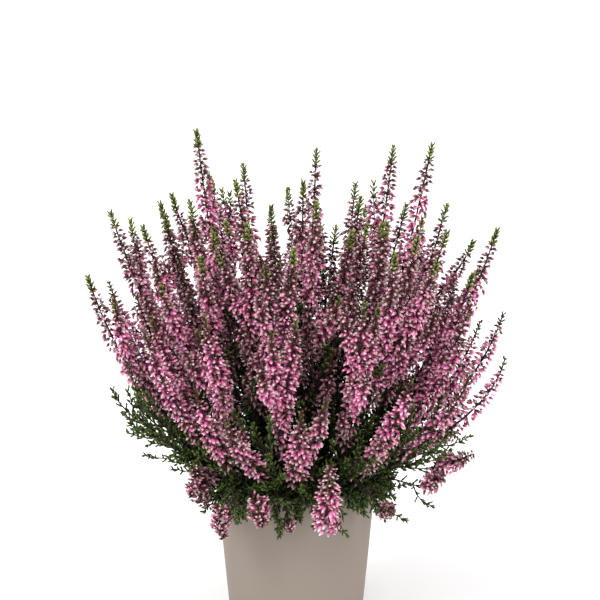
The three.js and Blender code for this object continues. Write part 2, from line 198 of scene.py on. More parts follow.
def readMap(tree, band):
    # Undoes the map: the tone, the turn round and the share along, each from 0 to 1.
    uv = addNode(tree, "ShaderNodeUVMap", uv_map="OFBake").outputs["UV"]
    split = addNode(tree, "ShaderNodeSeparateXYZ", {0: uv})
    strip = doMath(tree, "MULTIPLY", split.outputs["X"], strips["tones"])
    tone = doMath(tree, "DIVIDE", doMath(tree, "FLOOR", strip), strips["tones"] - 1)
    margin = strips["margin"]
    inside = doMath(tree, "SUBTRACT", doMath(tree, "FRACT", strip), margin)
    turn = doMath(tree, "DIVIDE", inside, 1 - 2 * margin)
    low, high = bands[band]
    along = doMath(tree, "DIVIDE", doMath(tree, "SUBTRACT", split.outputs["Y"], low), high - low)
    return tone, turn, along


def makeFloor():
    half = studio["floorSize"] / 2
    mesh = bpy.data.meshes.new("studioFloor")
    corners = [(-half, -half, 0), (half, -half, 0), (half, half, 0), (-half, half, 0)]
    mesh.from_pydata(corners, [], [(0, 1, 2, 3)])
    floor = bpy.data.objects.new("studioFloor", mesh)
    bpy.context.scene.collection.objects.link(floor)
    material, _, shader = startMaterial("studio floor", studio["floorRoughness"])
    shader.inputs["Base Color"].default_value = colour(studio["floorColour"])
    mesh.materials.append(material)


makeCamera()
makeLamps()
makeWorld()
makeFloor()
print("camera, lamps and floor made")


# Layout of the plant: driving sizes in millimetres

pot = {
    "height": 93, "rimRadius": 55, "baseRadius": 46.5, "wall": 2.2, "floor": 2.6, "edgeRound": 0.9,
    "columns": 144, "edgeSteps": 5, "footRing": 3, "footLift": 0.8,
    "drains": 4, "drainRadius": 4, "drainRing": 27, "drainSides": 24, "cutFrom": -2, "cutLength": 8,
}
soil = {
    "belowRim": 11, "mound": 3, "crumb": 1.1, "columns": 120, "rings": 34, "gap": 0.3, "shoulder": 2,
    "crumbEdge": (-0.5, 3), "seed": 11,
    "grains": 200, "grainSize": (0.7, 2.1), "grainLength": 1.3, "grainWidth": 0.6, "sunk": 0.45,
    "grainMargin": 2, "grainTilt": 0.5,
}
# A woody foot in the middle and others on a ring round it. tipReach is the radius out to which their shoots
# spread.
crown = {
    "middle": (0, 2), "onRing": 7, "ringRadius": 31, "ringTurn": 0.2, "radius": 3, "depth": 16, "rise": 2.5,
    "rootDepth": 1.5, "tipReach": 108, "narrower": 0.3, "narrowFrom": 0.75, "uneven": 0.07,
}
spread = {
    "least": 0.56, "most": 0.95, "atHalf": 0.62, "growth": 0.45, "leastRise": 50, "riseShare": 0.7,
    "routeSteps": 200,
}
# The reach of a spike's buds, and how far up its parent's flowers a fork sits. Here and below, a pair that
# within() reads is a distance in mm and the share of the spike's length that it is at most.
bloom = {
    "narrowTo": (6.6, 0.15), "fullAt": (60, 0.7), "footTaper": (14, 0.3), "leafyRadius": 2.6,
    "forkSeat": 0.3, "stemRadius": 1.7,
}
settle = {
    "rounds": 120, "steps": 34, "clear": 1.6, "enough": 0.05, "sideways": 0.35, "leastShare": 0.3,
    "strength": 0.6, "stepX": 2, "stepY": 4, "tooNear": 0.5,
}

# Tips of the upright spikes: x, y, z, then the length and the radius of the flowering part. A row that
# starts with 'fork' grows out of the spike above it: its tip, then its radius.
spikeRows = [
    (-125, 5, 277, 130, 6.6), ("fork", -114, 40, 265, 5.8),
    (-101, -30, 274, 120, 6.6), ("fork", -88, -60, 241, 6.2),
    (-94, 50, 275, 120, 6.4), ("fork", -90, 36, 268, 5.2),
    (-70, -25, 290, 135, 6.8), ("fork", -62, -55, 258, 6.6),
    (-67, 15, 331, 165, 6.8), ("fork", -84, 10, 288, 6.4), ("fork", -43, 25, 254, 5.6),
    (-59, 55, 291, 125, 6.4), ("fork", -70, 74, 238, 6),
    (-40, -15, 302, 145, 6.8), ("fork", -52, -35, 257, 6.2),
    (-140, -10, 236, 110, 6.8), ("fork", -120, -40, 228, 6.4),
    (-37, 70, 298, 125, 6.2), ("fork", -30, 92, 232, 6),
    (-32, -50, 279, 135, 6.6), ("fork", -10, -20, 253, 5.8),
    (5, 5, 298, 135, 6.8),
    (14, 35, 314, 140, 6.6), ("fork", 18, 66, 256, 6.2),
    (14, -45, 293, 160, 7.4), ("fork", 28, -76, 236, 6.8),
    (-20, -65, 257, 120, 6.8), ("fork", -1, -70, 267, 6.8),
    (37, -20, 268, 120, 6.6), ("fork", 44, 20, 284, 6),
    (66, 25, 318, 150, 6.8),
    (91, 0, 324, 155, 6.8),
    (77, 60, 272, 115, 6.4), ("fork", 98, 70, 232, 6),
    (62, -40, 278, 130, 7),
    (104, 45, 274, 120, 6.4), ("fork", 122, 30, 252, 5.8),
    (100, -30, 271, 130, 6.8),
    (77, -55, 272, 130, 7), ("fork", 64, -75, 264, 6.6), ("fork", 92, -62, 257, 6.6),
    (135, -5, 267, 125, 6.6),
    (-99, -65, 211, 95, 7),
    (-59, -85, 226, 110, 7.6),
    (-16, -95, 218, 105, 7.2), ("fork", 0, -90, 225, 6.8),
    (44, -90, 236, 120, 7.4), ("fork", 54, -84, 234, 6.4),
    (115, -45, 224, 105, 7),
    (142, 10, 207, 100, 6.8),
    (140, -25, 183, 90, 6.8),
    (114, -65, 183, 85, 7.2),
    (68, -100, 188, 95, 7.8),
    (-64, -100, 180, 85, 7.4),
    (-45, -106, 166, 75, 7.4),
    (3, -115, 171, 85, 8.4), ("fork", 20, -110, 178, 7),
    (-112, 78, 226, 100, 6.8), ("fork", -130, 48, 206, 6.2),
    (-74, 98, 244, 110, 6.8), ("fork", -50, 112, 205, 6.6),
    (-18, 105, 262, 120, 6.8), ("fork", 6, 124, 214, 6.6),
    (42, 88, 282, 125, 6.6), ("fork", 46, 118, 226, 6.6),
    (86, 92, 236, 110, 6.8), ("fork", 122, 74, 206, 6.4),
    (-86, 104, 168, 75, 7), ("fork", -60, 114, 152, 6.2),
    (24, 126, 158, 72, 7.2),
    (104, 94, 158, 72, 7), ("fork", 74, 108, 146, 6.2),
]

# Low sprays that bend over the rim: points from the soil to the tip, then length and radius. Those of
# length 0 are leafy only.
rimSprays = [
    ([(-40, -20, 98), (-56, -38, 101), (-70, -50, 116)], 27, 5.4),
    ([(-38, -36, 99), (-47, -53, 101), (-50, -64, 88), (-48, -68, 70)], 24, 5.6),
    ([(-20, -44, 99), (-30, -62, 104), (-26, -78, 98), (-20, -84, 84)], 22, 6),
    ([(10, -44, 99), (16, -68, 103), (17, -86, 90), (19, -99, 92), (23, -105, 133)], 50, 6.6),
    ([(38, -34, 99), (48, -48, 102), (58, -60, 88), (66, -66, 93)], 16, 5),
    ([(42, -8, 98), (66, -14, 104), (92, -18, 104), (121, -20, 115)], 34, 5.6),
    ([(40, -20, 98), (64, -32, 101), (84, -38, 98), (100, -42, 105)], 18, 5.2),
    ([(-30, -40, 99), (-42, -58, 104), (-40, -70, 97), (-37, -76, 84)], 0, 0),
    ([(-6, -46, 99), (-12, -62, 104), (-13, -72, 96), (-10, -77, 80)], 0, 0),
    ([(34, -38, 99), (42, -52, 104), (50, -62, 98), (53, -68, 90)], 0, 0),
]

# Tips of the leafy shoots that carry no flowers.
leafyTips = [
    (-124, -20, 161), (-106, -42, 150), (-18, -92, 136), (79, -72, 147), (118, 14, 150),
    (-112, 40, 146), (40, 96, 132), (-40, 98, 134), (-66, -70, 130), (-28, -64, 142), (46, -68, 134),
    (86, -30, 126), (-86, 4, 128), (70, 56, 130), (-64, 66, 132),
]

soilEdge = pot["height"] - soil["belowRim"]


def soilHeightAt(radius):
    # A low mound: its height falls with the square of the distance from the middle.
    return soilEdge + soil["mound"] * (1 - (radius / pot["rimRadius"]) ** 2)


def wallRadiusAt(height):
    # A cone: its radius grows evenly from the base to the rim.
    return pot["baseRadius"] + (pot["rimRadius"] - pot["baseRadius"]) * height / pot["height"]


ringTurns = crown["ringTurn"] + np.arange(crown["onRing"]) * 2 * math.pi / crown["onRing"]
ringPlaces = crown["ringRadius"] * np.column_stack((np.cos(ringTurns), np.sin(ringTurns)))
crowns = np.vstack(([crown["middle"]], ringPlaces))
crownTops = soilHeightAt(np.hypot(crowns[:, 0], crowns[:, 1])) + crown["rise"]


def nearestCrown(x, y):
    pull = crown["ringRadius"] / crown["tipReach"]
    return int(np.argmin(np.hypot(crowns[:, 0] - pull * x, crowns[:, 1] - pull * y)))


def rootOf(clump):
    return np.array([*crowns[clump], crownTops[clump] - crown["rootDepth"]])


def smoothStep(value, low, high):
    share = np.clip((value - low) / (high - low), 0, 1)
    return share * share * (3 - 2 * share)


def lerp(first, second, share):
    return first + (second - first) * share


def within(limits, length):
    # A distance, or a share of the length where that is shorter.
    distance, share = limits
    return min(distance, share * length)


def makeRoute(curve):
    # curve(t) gives points for shares t. Its length is read from a table of straight steps.
    steps = np.linspace(0, 1, spread["routeSteps"] + 1)
    gaps = np.linalg.norm(np.diff(curve(steps), axis=0), axis=1)
    lengths = np.concatenate(([0], np.cumsum(gaps)))
    return {"curve": curve, "steps": steps, "lengths": lengths, "total": lengths[-1]}


def pointsAt(route, distances):
    return route["curve"](np.interp(distances, route["lengths"], route["steps"]))


def bentCurve(root, tip):
    # A quadratic Bezier curve whose bend point lies out by a share of the reach, which grows with the ratio
    # of reach to rise, so that low shoots spread first and turn up late.
    reach = math.hypot(tip[0] - root[0], tip[1] - root[1])
    rise = max(tip[2] - root[2], 1)
    out = spread["atHalf"] + spread["growth"] * (reach / rise - 0.5)
    out = np.clip(out, spread["least"], spread["most"])
    lift = max((1 - out) * rise, min(spread["leastRise"], spread["riseShare"] * reach))
    bend = np.array([*(root[:2] + out * (tip[:2] - root[:2])), root[2] + lift])

    def curve(t):
        t = t[:, None]
        return (1 - t) ** 2 * root + 2 * t * (1 - t) * bend + t ** 2 * tip
    return curve


def smoothCurve(points):
    # A centripetal Catmull-Rom curve: cubic pieces through the points, with slopes from three neighbours
    # weighted by the square root of their distances.
    points = np.array(points, float)
    padded = np.vstack((2 * points[0] - points[1], points, 2 * points[-1] - points[-2]))
    gaps = np.sqrt(np.linalg.norm(np.diff(padded, axis=0), axis=1))[:, None]

    def curve(t):
        place = t * (len(points) - 1)
        i = np.minimum(place.astype(int), len(points) - 2)
        w = (place - i)[:, None]
        a, b, c, d = (padded[i + k] for k in range(4))
        d0, d1, d2 = (gaps[i + k] for k in range(3))
        start = d1 * ((b - a) / d0 - (c - a) / (d0 + d1) + (c - b) / d1)
        end = d1 * ((c - b) / d1 - (d - b) / (d1 + d2) + (d - c) / d2)
        square, cube = 3 * (c - b) - 2 * start - end, 2 * (b - c) + start + end
        return b + start * w + square * w ** 2 + cube * w ** 3
    return curve


def readShoots():
    # The rows above as shoots that know their clump, their parent and their flowering length.
    shoots = []
    parent = None

    def note(tip, length, radius, parent=None, **more):
        shoots.append({"tip": tip, "length": length, "radius": radius, "parent": parent, **more})
    for row in spikeRows:
        if row[0] == "fork":
            note(row[1:4], 0, row[4], parent)
        else:
            parent = len(shoots)
            note(row[:3], row[3], row[4])
    for points, length, radius in rimSprays:
        note(points[-1], length, radius, bends=points)
    for tip in leafyTips:
        note(tip, 0, 0)
    for i, shoot in enumerate(shoots):
        shoot["tip"] = np.array(shoot["tip"], float)
        shoot["free"] = "bends" not in shoot
        shoot["head"] = i if shoot["parent"] is None else shoot["parent"]
        first = shoots[shoot["head"]]
        shoot["clump"] = nearestCrown(first["tip"][0], first["tip"][1])
    return shoots


def layRoute(shoot, shoots):
    if "bends" in shoot:
        curve = smoothCurve([rootOf(shoot["clump"]), *shoot["bends"]])
    elif shoot["parent"] is not None:
        parent = shoots[shoot["parent"]]
        seat = parent["route"]["total"] - (1 - bloom["forkSeat"]) * parent["length"]
        curve = bentCurve(pointsAt(parent["route"], np.array([seat]))[0], shoot["tip"])
    else:
        curve = bentCurve(rootOf(shoot["clump"]), shoot["tip"])
    shoot["route"] = makeRoute(curve)
    shoot["total"] = shoot["route"]["total"]
    if shoot["parent"] is not None:
        shoot["length"] = shoot["total"]
    shoot["flowersFrom"] = max(shoot["total"] - shoot["length"], 0)


def bloomRadius(shoot, fromTip):
    # Reach of the buds: narrow at the end, full lower down, drawn in again at the foot.
    length = shoot["length"]
    full = smoothStep(fromTip, within(bloom["narrowTo"], length), within(bloom["fullAt"], length))
    taper = within(bloom["footTaper"], length)
    foot = smoothStep(length - fromTip, -taper, taper)
    return foot * lerp(bloom["leafyRadius"], shoot["radius"], full)


def settleShoots(shoots):
    # Moves tips apart, mostly front to back, until no two bodies are closer than the clearance.
    shares = np.linspace(0, 1, settle["steps"] + 1)
    clumps = np.array([shoot["clump"] for shoot in shoots])
    heads = np.array([shoot["head"] for shoot in shoots])
    for rounds in range(settle["rounds"]):
        places, radii, green = [], [], []
        for shoot in shoots:
            layRoute(shoot, shoots)
            s = shoot["total"] * shares
            flowers = (s >= shoot["flowersFrom"]) & (shoot["length"] > 0)
            places.append(pointsAt(shoot["route"], s))
            radius = bloomRadius(shoot, shoot["total"] - s) if shoot["length"] > 0 else s
            radii.append(np.where(flowers, radius, bloom["stemRadius"]))
            green.append(s < shoot["flowersFrom"])
        places, radii, green = np.array(places), np.array(radii), np.array(green)
        shifts = np.zeros((len(shoots), 2))
        worst = 0
        for i, shoot in enumerate(shoots[:-1]):
            apart = places[i][None, :, None] - places[i + 1:, None, :]
            short = radii[i][None, :, None] + radii[i + 1:, None, :] + settle["clear"]
            short = short - np.linalg.norm(apart, axis=3)
            bothGreen = green[i][None, :, None] & green[i + 1:, None, :]
            short[bothGreen & (clumps[i + 1:] == clumps[i])[:, None, None]] = 0
            short[heads[i + 1:] == heads[i]] = 0
            flat = short.reshape(len(short), -1)
            for offset in np.flatnonzero(flat.max(axis=1, initial=0) > 0):
                j = i + 1 + offset
                p, q = divmod(int(flat[offset].argmax()), len(shares))
                gap = flat[offset].max()
                worst = max(worst, gap)
                away = (places[i, p] - places[j, q])[:2] * (settle["sideways"], 1)
                if np.linalg.norm(away) < settle["tooNear"]:
                    away = np.array([0, 1.0 if i % 2 else -1.0])
                away /= np.linalg.norm(away)
                push = settle["strength"] * gap * (0.5 if shoot["free"] and shoots[j]["free"] else 1)
                if shoot["free"]:
                    shifts[i] += away * push / max(shares[p], settle["leastShare"])
                if shoots[j]["free"]:
                    shifts[j] -= away * push / max(shares[q], settle["leastShare"])
        if worst < settle["enough"]:
            break
        limit = (settle["stepX"], settle["stepY"])
        for shoot, shift in zip(shoots, np.clip(shifts, np.negative(limit), limit)):
            shoot["tip"][:2] += shift
    return rounds


shoots = readShoots()
rounds = settleShoots(shoots)
heads = [i for i, shoot in enumerate(shoots) if shoot["length"] > 0 and shoot["parent"] is None]
print("shoots settled after", rounds, "rounds:", len(shoots), "shoots,", len(heads), "heads")


# Further shoots. The fillers stand between pairs of tips whose distance lies within gap.
fillers = {
    "count": 14, "gap": (22, 62), "inwards": (0.8, 0.94), "least": 15, "length": 100, "radius": 6.2,
    "seed": 9, "lowest": 205, "widest": 124, "root": (0, 0, 90),
}
# Flowering shoots at the sides and in the gaps: x, y, z of the tip, then length and radius of the flowers.
sideRows = [
    (-122, -15, 212, 90, 6.4), (-128, 20, 225, 95, 6.2), (-108, -5, 222, 95, 6.4), (-96, -40, 215, 90, 6.4),
    (118, -20, 240, 100, 6.4), (126, 20, 235, 95, 6.2), (108, 10, 225, 95, 6.4), (124, -12, 205, 85, 6.4),
    (27, 18, 264, 110, 6.4), (-70, 22, 262, 110, 6.2), (-16, 30, 262, 100, 6.2), (68, -54, 134, 55, 6),
    (46, 8, 252, 105, 6.2), (50, -62, 120, 38, 6), (84, -40, 128, 50, 5.8), (-48, 46, 190, 80, 6),
    (25, -46, 194, 72, 6),
]
# Low sprays: points from the soil to the tip, then length and radius.
moreSprays = [
    ([(-40, -24, 99), (-58, -38, 106), (-66, -46, 103), (-60, -51, 86)], 24, 5.6),
    ([(-4, -44, 99), (-6, -60, 103), (-6, -69, 95), (-4, -73, 76)], 9, 4.6),
]
# Tips of leafy shoots.
leafyRows = [
    (-108, -34, 166), (-98, -50, 140), (-92, -20, 128), (-104, 10, 136), (112, -20, 144), (104, -50, 138),
    (96, -60, 128), (20, 34, 196), (-36, 30, 192), (12, -22, 160), (44, 10, 184), (-62, 24, 196),
    (-46, 14, 188), (-28, 8, 178), (34, 4, 168), (40, 16, 194), (-84, -42, 120), (-98, -8, 150),
    (-74, -24, 114), (-46, 66, 188), (38, 66, 192), (-6, 62, 202), (-22, 86, 172), (24, 88, 168),
    (-42, 34, 158), (-34, 24, 146), (-18, 36, 174), (26, -6, 126), (74, 30, 180), (18, 30, 120),
    (-110, -12, 150), (-100, -32, 124),
]
# Leafy shoots beside the long hanging spray, by the points that they bend through.
leafySprays = [
    [(6, -44, 99), (12, -66, 105), (15, -83, 99), (16, -98, 101)],
    [(14, -44, 99), (20, -66, 103), (22, -82, 95), (25, -91, 95)],
]


def freeShoot(tip, length, radius, **more):
    # A shoot of the scene alone, on the nearest woody foot. Its flowers belong to the nearest head.
    tip = np.array(tip, float)
    head = heads[int(np.argmin([np.linalg.norm(shoots[i]["tip"] - tip) for i in heads]))]
    shoot = {"tip": tip, "length": length, "radius": radius, "parent": None, "free": True, "head": head,
             "clump": nearestCrown(*tip[:2]), **more}
    layRoute(shoot, shoots)
    return shoot


def layFillers():
    # Flowering shoots where the tips stand far apart. Each starts half way between two tips, drawn in towards
    # the roots, and the place that is furthest from every tip comes first. Then those of the tables.
    random = np.random.default_rng(fillers["seed"])
    tips = np.array([shoot["tip"] for shoot in shoots if shoot["length"] > 0 and shoot["free"]])
    first, second = np.triu_indices(len(tips), 1)
    apart = np.linalg.norm(tips[first] - tips[second], axis=1)
    near = (apart > fillers["gap"][0]) & (apart < fillers["gap"][1])
    middle = (tips[first[near]] + tips[second[near]]) / 2
    root = np.array(fillers["root"], float)
    places = root + (middle - root) * random.uniform(*fillers["inwards"], (len(middle), 1))
    wide = np.hypot(places[:, 0], places[:, 1])
    places = places[(places[:, 2] > fillers["lowest"]) & (wide < fillers["widest"])]
    room = np.linalg.norm(places[:, None] - tips[None], axis=2).min(axis=1)
    found = []
    while len(found) < fillers["count"]:
        best = int(np.argmax(room))
        if room[best] < fillers["least"]:
            break
        tip = places[best].copy()
        room = np.minimum(room, np.linalg.norm(places - tip, axis=1))
        found.append(freeShoot(tip, fillers["length"], fillers["radius"]))
    found.extend(freeShoot(row[:3], row[3], row[4]) for row in sideRows)
    found.extend(freeShoot(bends[-1], length, radius, bends=bends) for bends, length, radius in moreSprays)
    return found


fillerShoots = layFillers()
print("filler shoots:", len(fillerShoots))


# Mesh helpers

def gridFaces(rings, columns):
    # Faces of rings x columns points closed by a pole at each end: point 0 is the foot, the last one the tip.
    # Gives the corners, the sizes of the faces, and the turn and the ring number of each corner. Of each of
    # these the parts are the faces between the rings, those at the foot and those at the tip.
    ring, column = (part.ravel() for part in np.indices((rings - 1, columns)))
    single = np.arange(columns)
    zero, middle, last = 0 * single, single + 0.5, rings - 1

    def at(row, place):
        return 1 + row * columns + place % columns
    parts = (
        (at(ring, column), at(ring, column + 1), at(ring + 1, column + 1), at(ring + 1, column)),
        (zero, at(0, single + 1), at(0, single)),
        (zero + rings * columns + 1, at(last, single), at(last, single + 1)),
        (column, column + 1, column + 1, column),
        (middle, single + 1, single),
        (middle, single, single + 1),
        (ring, ring, ring + 1, ring + 1),
        (zero - 1, zero, zero),
        (zero + rings, zero + last, zero + last),
    )
    flat = [np.stack(part, axis=1).ravel() for part in parts]
    corners, turns, levels = (np.concatenate(flat[k:k + 3]) for k in (0, 3, 6))
    sizes = np.concatenate((np.full(len(ring), 4), np.full(2 * columns, 3)))
    return corners, sizes, turns / columns, levels


def makeTemplate(heights, radii, flat=1.0):
    # A small closed shape for copies: heights and radii hold one row for each ring, across its columns. It
    # stands on the origin with unit height, its radius across is 1 and its thickness is flat.
    heights, radii = np.broadcast_arrays(np.array(heights, float), np.array(radii, float))
    rings, columns = radii.shape
    turn = np.arange(columns) * 2 * math.pi / columns
    points = np.stack((radii * np.cos(turn), radii * np.sin(turn) * flat, heights), axis=2).reshape(-1, 3)
    points = np.vstack(((0, 0, 0), points, (0, 0, 1)))
    corners, sizes, turns, _ = gridFaces(rings, columns)
    along = np.clip(points[corners, 2], 0, 1)
    return {"points": points, "corners": corners, "sizes": sizes, "turns": turns, "along": along}


def unit(vectors):
    return vectors / np.maximum(np.linalg.norm(vectors, axis=-1, keepdims=True), 1e-9)


def leaning(first, second, angle):
    # The direction at an angle from the first towards the second.
    return first * np.cos(angle)[..., None] + second * np.sin(angle)[..., None]


def putMesh(name, points, corners, sizes, materials, slots=None, maps=None):
    # Puts points in millimetres and their faces into a new object in metres.
    mesh = bpy.data.meshes.new(name)
    mesh.vertices.add(len(points))
    mesh.vertices.foreach_set("co", (points * mm).ravel().astype(np.float32))
    mesh.loops.add(len(corners))
    mesh.loops.foreach_set("vertex_index", corners.astype(np.int32))
    mesh.polygons.add(len(sizes))
    mesh.polygons.foreach_set("loop_start", (np.cumsum(sizes) - sizes).astype(np.int32))
    for material in materials:
        mesh.materials.append(material)
    if maps is not None:
        mesh.polygons.foreach_set("material_index", slots.astype(np.int32))
        layer = mesh.uv_layers.new(name="OFBake")
        layer.data.foreach_set("uv", maps.ravel().astype(np.float32))
    mesh.update(calc_edges=True)
    mesh.polygons.foreach_set("use_smooth", np.ones(len(sizes), bool))
    mesh.validate()
    piece = bpy.data.objects.new(name, mesh)
    bpy.context.scene.collection.objects.link(piece)
    return piece


class PieceMesh:
    # Gathers copies and tubes in millimetres for one piece.
    def __init__(self):
        self.points, self.corners, self.sizes, self.slots, self.maps = [], [], [], [], []
        self.count = 0

    def add(self, points, corners, sizes, turns, along, tone, band):
        low, high = bands[band]
        across = (tone + strips["margin"] + (1 - 2 * strips["margin"]) * turns) / strips["tones"]
        self.points.append(points)
        self.corners.append(corners + self.count)
        self.sizes.append(sizes)
        self.slots.append(np.full(len(sizes), bandOrder.index(band)))
        self.maps.append(np.stack((across, low + (high - low) * along), axis=1))
        self.count += len(points)

    def addCopies(self, template, feet, along, side, length, width, tone, band, bend=None):
        # A copy for each foot: its height runs along the first direction and its width along the second.
        # bend moves each point by its share of height, squared.
        copies = len(feet)
        along = unit(along)
        side = unit(side - np.sum(side * along, axis=1, keepdims=True) * along)
        length, width, tone = (np.broadcast_to(value, copies)[:, None] for value in (length, width, tone))
        x, y, z = template["points"].T
        points = feet[:, None] + side[:, None] * (x * width)[..., None]
        points = points + np.cross(along, side)[:, None] * (y * width)[..., None]
        points = points + along[:, None] * (z * length)[..., None]
        if bend is not None:
            points = points + bend[:, None] * (z ** 2)[None, :, None]
        corners = template["corners"] + np.arange(copies)[:, None] * len(x)
        sizes, turns, share = (np.tile(template[key], copies) for key in ("sizes", "turns", "along"))
        tones = np.broadcast_to(tone, corners.shape).ravel()
        self.add(points.reshape(-1, 3), corners.ravel(), sizes, turns, share, tones, band)

    def addTube(self, centres, along, side, radii, tone):
        # A closed tube: at each centre a ring whose radii go round it, with a pole at each end.
        rings, columns = radii.shape
        across = np.cross(along, side)
        turn = np.arange(columns) * 2 * math.pi / columns
        ringPoints = centres[:, None] + side[:, None] * (radii * np.cos(turn))[..., None]
        ringPoints = ringPoints + across[:, None] * (radii * np.sin(turn))[..., None]
        end = centres[-1] + along[-1] * radii[-1].mean()
        corners, sizes, turns, levels = gridFaces(rings, columns)
        share = np.clip(levels / (rings - 1), 0, 1)
        points = np.vstack((centres[0], ringPoints.reshape(-1, 3), end))
        self.add(points, corners, sizes, turns, share, tone, "stem")

    def put(self, name, materials):
        lists = (self.points, self.corners, self.sizes, self.slots, self.maps)
        points, corners, sizes, slots, maps = (np.concatenate(part) for part in lists)
        return putMesh(name, points, corners, sizes, materials, slots, maps)

    def triangles(self):
        return int(sum((sizes - 2).sum() for sizes in self.sizes))


def framesAlong(route, distances, turn):
    # Points on a route, the direction that it runs in there, and the direction square to it at each turn
    # round it. Turn 0 is square to the plane that the route bends in.
    step = 0.5
    points = pointsAt(route, distances)
    low, high = (np.clip(distances + way, 0, route["total"]) for way in (-step, step))
    along = unit(pointsAt(route, high) - pointsAt(route, low))
    ends = pointsAt(route, np.array([0, route["total"]]))
    level = np.cross(up, ends[1] - ends[0])
    if np.linalg.norm(level) < 1:
        level = np.array([1.0, 0, 0])
    side = unit(level - np.sum(level * along, axis=1, keepdims=True) * along)
    return points, along, leaning(side, np.cross(along, side), turn)


# Materials

budFinish = {
    "roughness": 0.5,
    # by tone, from the young dull buds of the ends, and those darkened by painted shade, to the full pale
    # ones
    "body": [(0.0, "#54181e"), (0.2, "#744249"), (0.34, "#944860"), (0.6, "#c84a89"), (0.85, "#da6fa9"),
             (1.0, "#e89ac0")],
    "end": [(0.0, "#c6acaa"), (0.25, "#f2dcde"), (0.5, "#f6c0cc"), (0.8, "#fcdae2"), (1.0, "#fff2f5")],
    # cup: the near-black foot of each bud, partly its own darker base and partly painted shade between the
    # buds
    "cup": "#34050c", "endFrom": (0.48, 0.9), "cupTo": (0.1, 0.4), "sepals": 4, "seam": 0.3,
}


def makeBudMaterial():
    material, tree, shader = startMaterial("heather bud", budFinish["roughness"])
    tone, turn, along = readMap(tree, "bud")
    body = addRamp(tree, tone, budFinish["body"])
    end = addRamp(tree, tone, budFinish["end"])
    toEnd = shareBetween(tree, along, budFinish["endFrom"], interpolation_type="SMOOTHSTEP")
    shade = mixColours(tree, toEnd, body, end)
    # Between the sepals a seam in the body's colour: the negative half of a cosine of the turn.
    wave = doMath(tree, "COSINE", doMath(tree, "MULTIPLY", turn, 2 * math.pi * budFinish["sepals"]))
    valley = doMath(tree, "MAXIMUM", doMath(tree, "MULTIPLY", wave, -1.0), 0.0)
    shade = mixColours(tree, doMath(tree, "MULTIPLY", valley, budFinish["seam"]), shade, body)
    # From the foot up to cupTo the bud turns near black: partly the bud's own darker base, partly painted
    # shade in the gaps between the buds.
    toCup = shareBetween(tree, along, budFinish["cupTo"])
    shade = mixColours(tree, toCup, colour(budFinish["cup"]), shade)
    setInputs(tree, shader, {"Base Color": shade})
    return material


leafFinish = {
    "roughness": 0.6, "specular": 0.3,
    # by tone: up to a half the side shoots, then the stalks and leaves among the buds, last the spikes' ends
    "foot": [(0.0, "#060903"), (0.46, "#1f2c0a"), (0.53, "#2a0609"), (0.74, "#340f0c"), (0.8, "#26350c"),
             (1.0, "#3c5014")],
    "tip": [(0.0, "#121c06"), (0.46, "#547020"), (0.53, "#54161e"), (0.74, "#5a3420"), (0.8, "#626f28"),
            (1.0, "#969f4c")],
    "tipFrom": (0.1, 0.95), "keels": 2, "keel": 0.12,
}


def makeLeafMaterial():
    material, tree, shader = startMaterial("heather leaf", leafFinish["roughness"])
    tone, turn, along = readMap(tree, "leaf")
    foot = addRamp(tree, tone, leafFinish["foot"])
    tip = addRamp(tree, tone, leafFinish["tip"])
    # A pale keel down two sides of each leaf: a cosine of the turn, added to the share of the way to the tip.
    wave = doMath(tree, "COSINE", doMath(tree, "MULTIPLY", turn, 2 * math.pi * leafFinish["keels"]))
    keel = doMath(tree, "MULTIPLY", wave, leafFinish["keel"])
    toTip = doMath(tree, "ADD", shareBetween(tree, along, leafFinish["tipFrom"]), keel)
    shade = mixColours(tree, toTip, foot, tip)
    setInputs(tree, shader, {"Base Color": shade, "Specular IOR Level": leafFinish["specular"]})
    return material


barkFinish = {
    "roughness": 0.8, "grain": 420, "detail": 4, "dark": "#170a08", "mid": "#301c15", "young": "#2e0a0d",
}


def makeBarkMaterial():
    material, tree, shader = startMaterial("heather bark", barkFinish["roughness"])
    along = readMap(tree, "stem")[2]
    grain = addNoise(tree, barkFinish["grain"], barkFinish["detail"])
    bark = mixColours(tree, grain, colour(barkFinish["dark"]), colour(barkFinish["mid"]))
    setInputs(tree, shader, {"Base Color": mixColours(tree, along, bark, colour(barkFinish["young"]))})
    return material


potFinish = {
    "roughness": 0.62, "roughSpread": 0.07, "dark": "#82766c", "light": "#8d8177",
    "cloud": 9, "cloudDetail": 5, "cloudShare": 0.75, "speck": 900, "speckDetail": 2,
    "bump": 0.06, "bumpDepth": 0.0004,
}


def makePotMaterial():
    # Matt moulded surface: slow cloudy changes of tone, and a fine even grain.
    roughness, spreadOut, cloudy = (potFinish[key] for key in ("roughness", "roughSpread", "cloudShare"))
    material, tree, shader = startMaterial("matt pot", roughness)
    cloud = addNoise(tree, potFinish["cloud"], potFinish["cloudDetail"])
    grain = addNoise(tree, potFinish["speck"], potFinish["speckDetail"])
    parts = doMath(tree, "MULTIPLY", cloud, cloudy), doMath(tree, "MULTIPLY", grain, 1 - cloudy)
    share = doMath(tree, "ADD", *parts)
    shade = mixColours(tree, share, colour(potFinish["dark"]), colour(potFinish["light"]))
    values = {"Value": cloud, "To Min": roughness - spreadOut, "To Max": roughness + spreadOut}
    rough = addNode(tree, "ShaderNodeMapRange", values).outputs[0]
    normal = addBump(tree, grain, potFinish["bump"], potFinish["bumpDepth"])
    setInputs(tree, shader, {"Base Color": shade, "Roughness": rough, "Normal": normal})
    return material


soilFinish = {
    "roughness": 0.95, "grain": 260, "detail": 6, "bump": 0.6, "bumpDepth": 0.001,
    "shades": [(0.3, "#150e0a"), (0.5, "#2c1f16"), (0.62, "#453324"), (0.75, "#6b5540")],
}


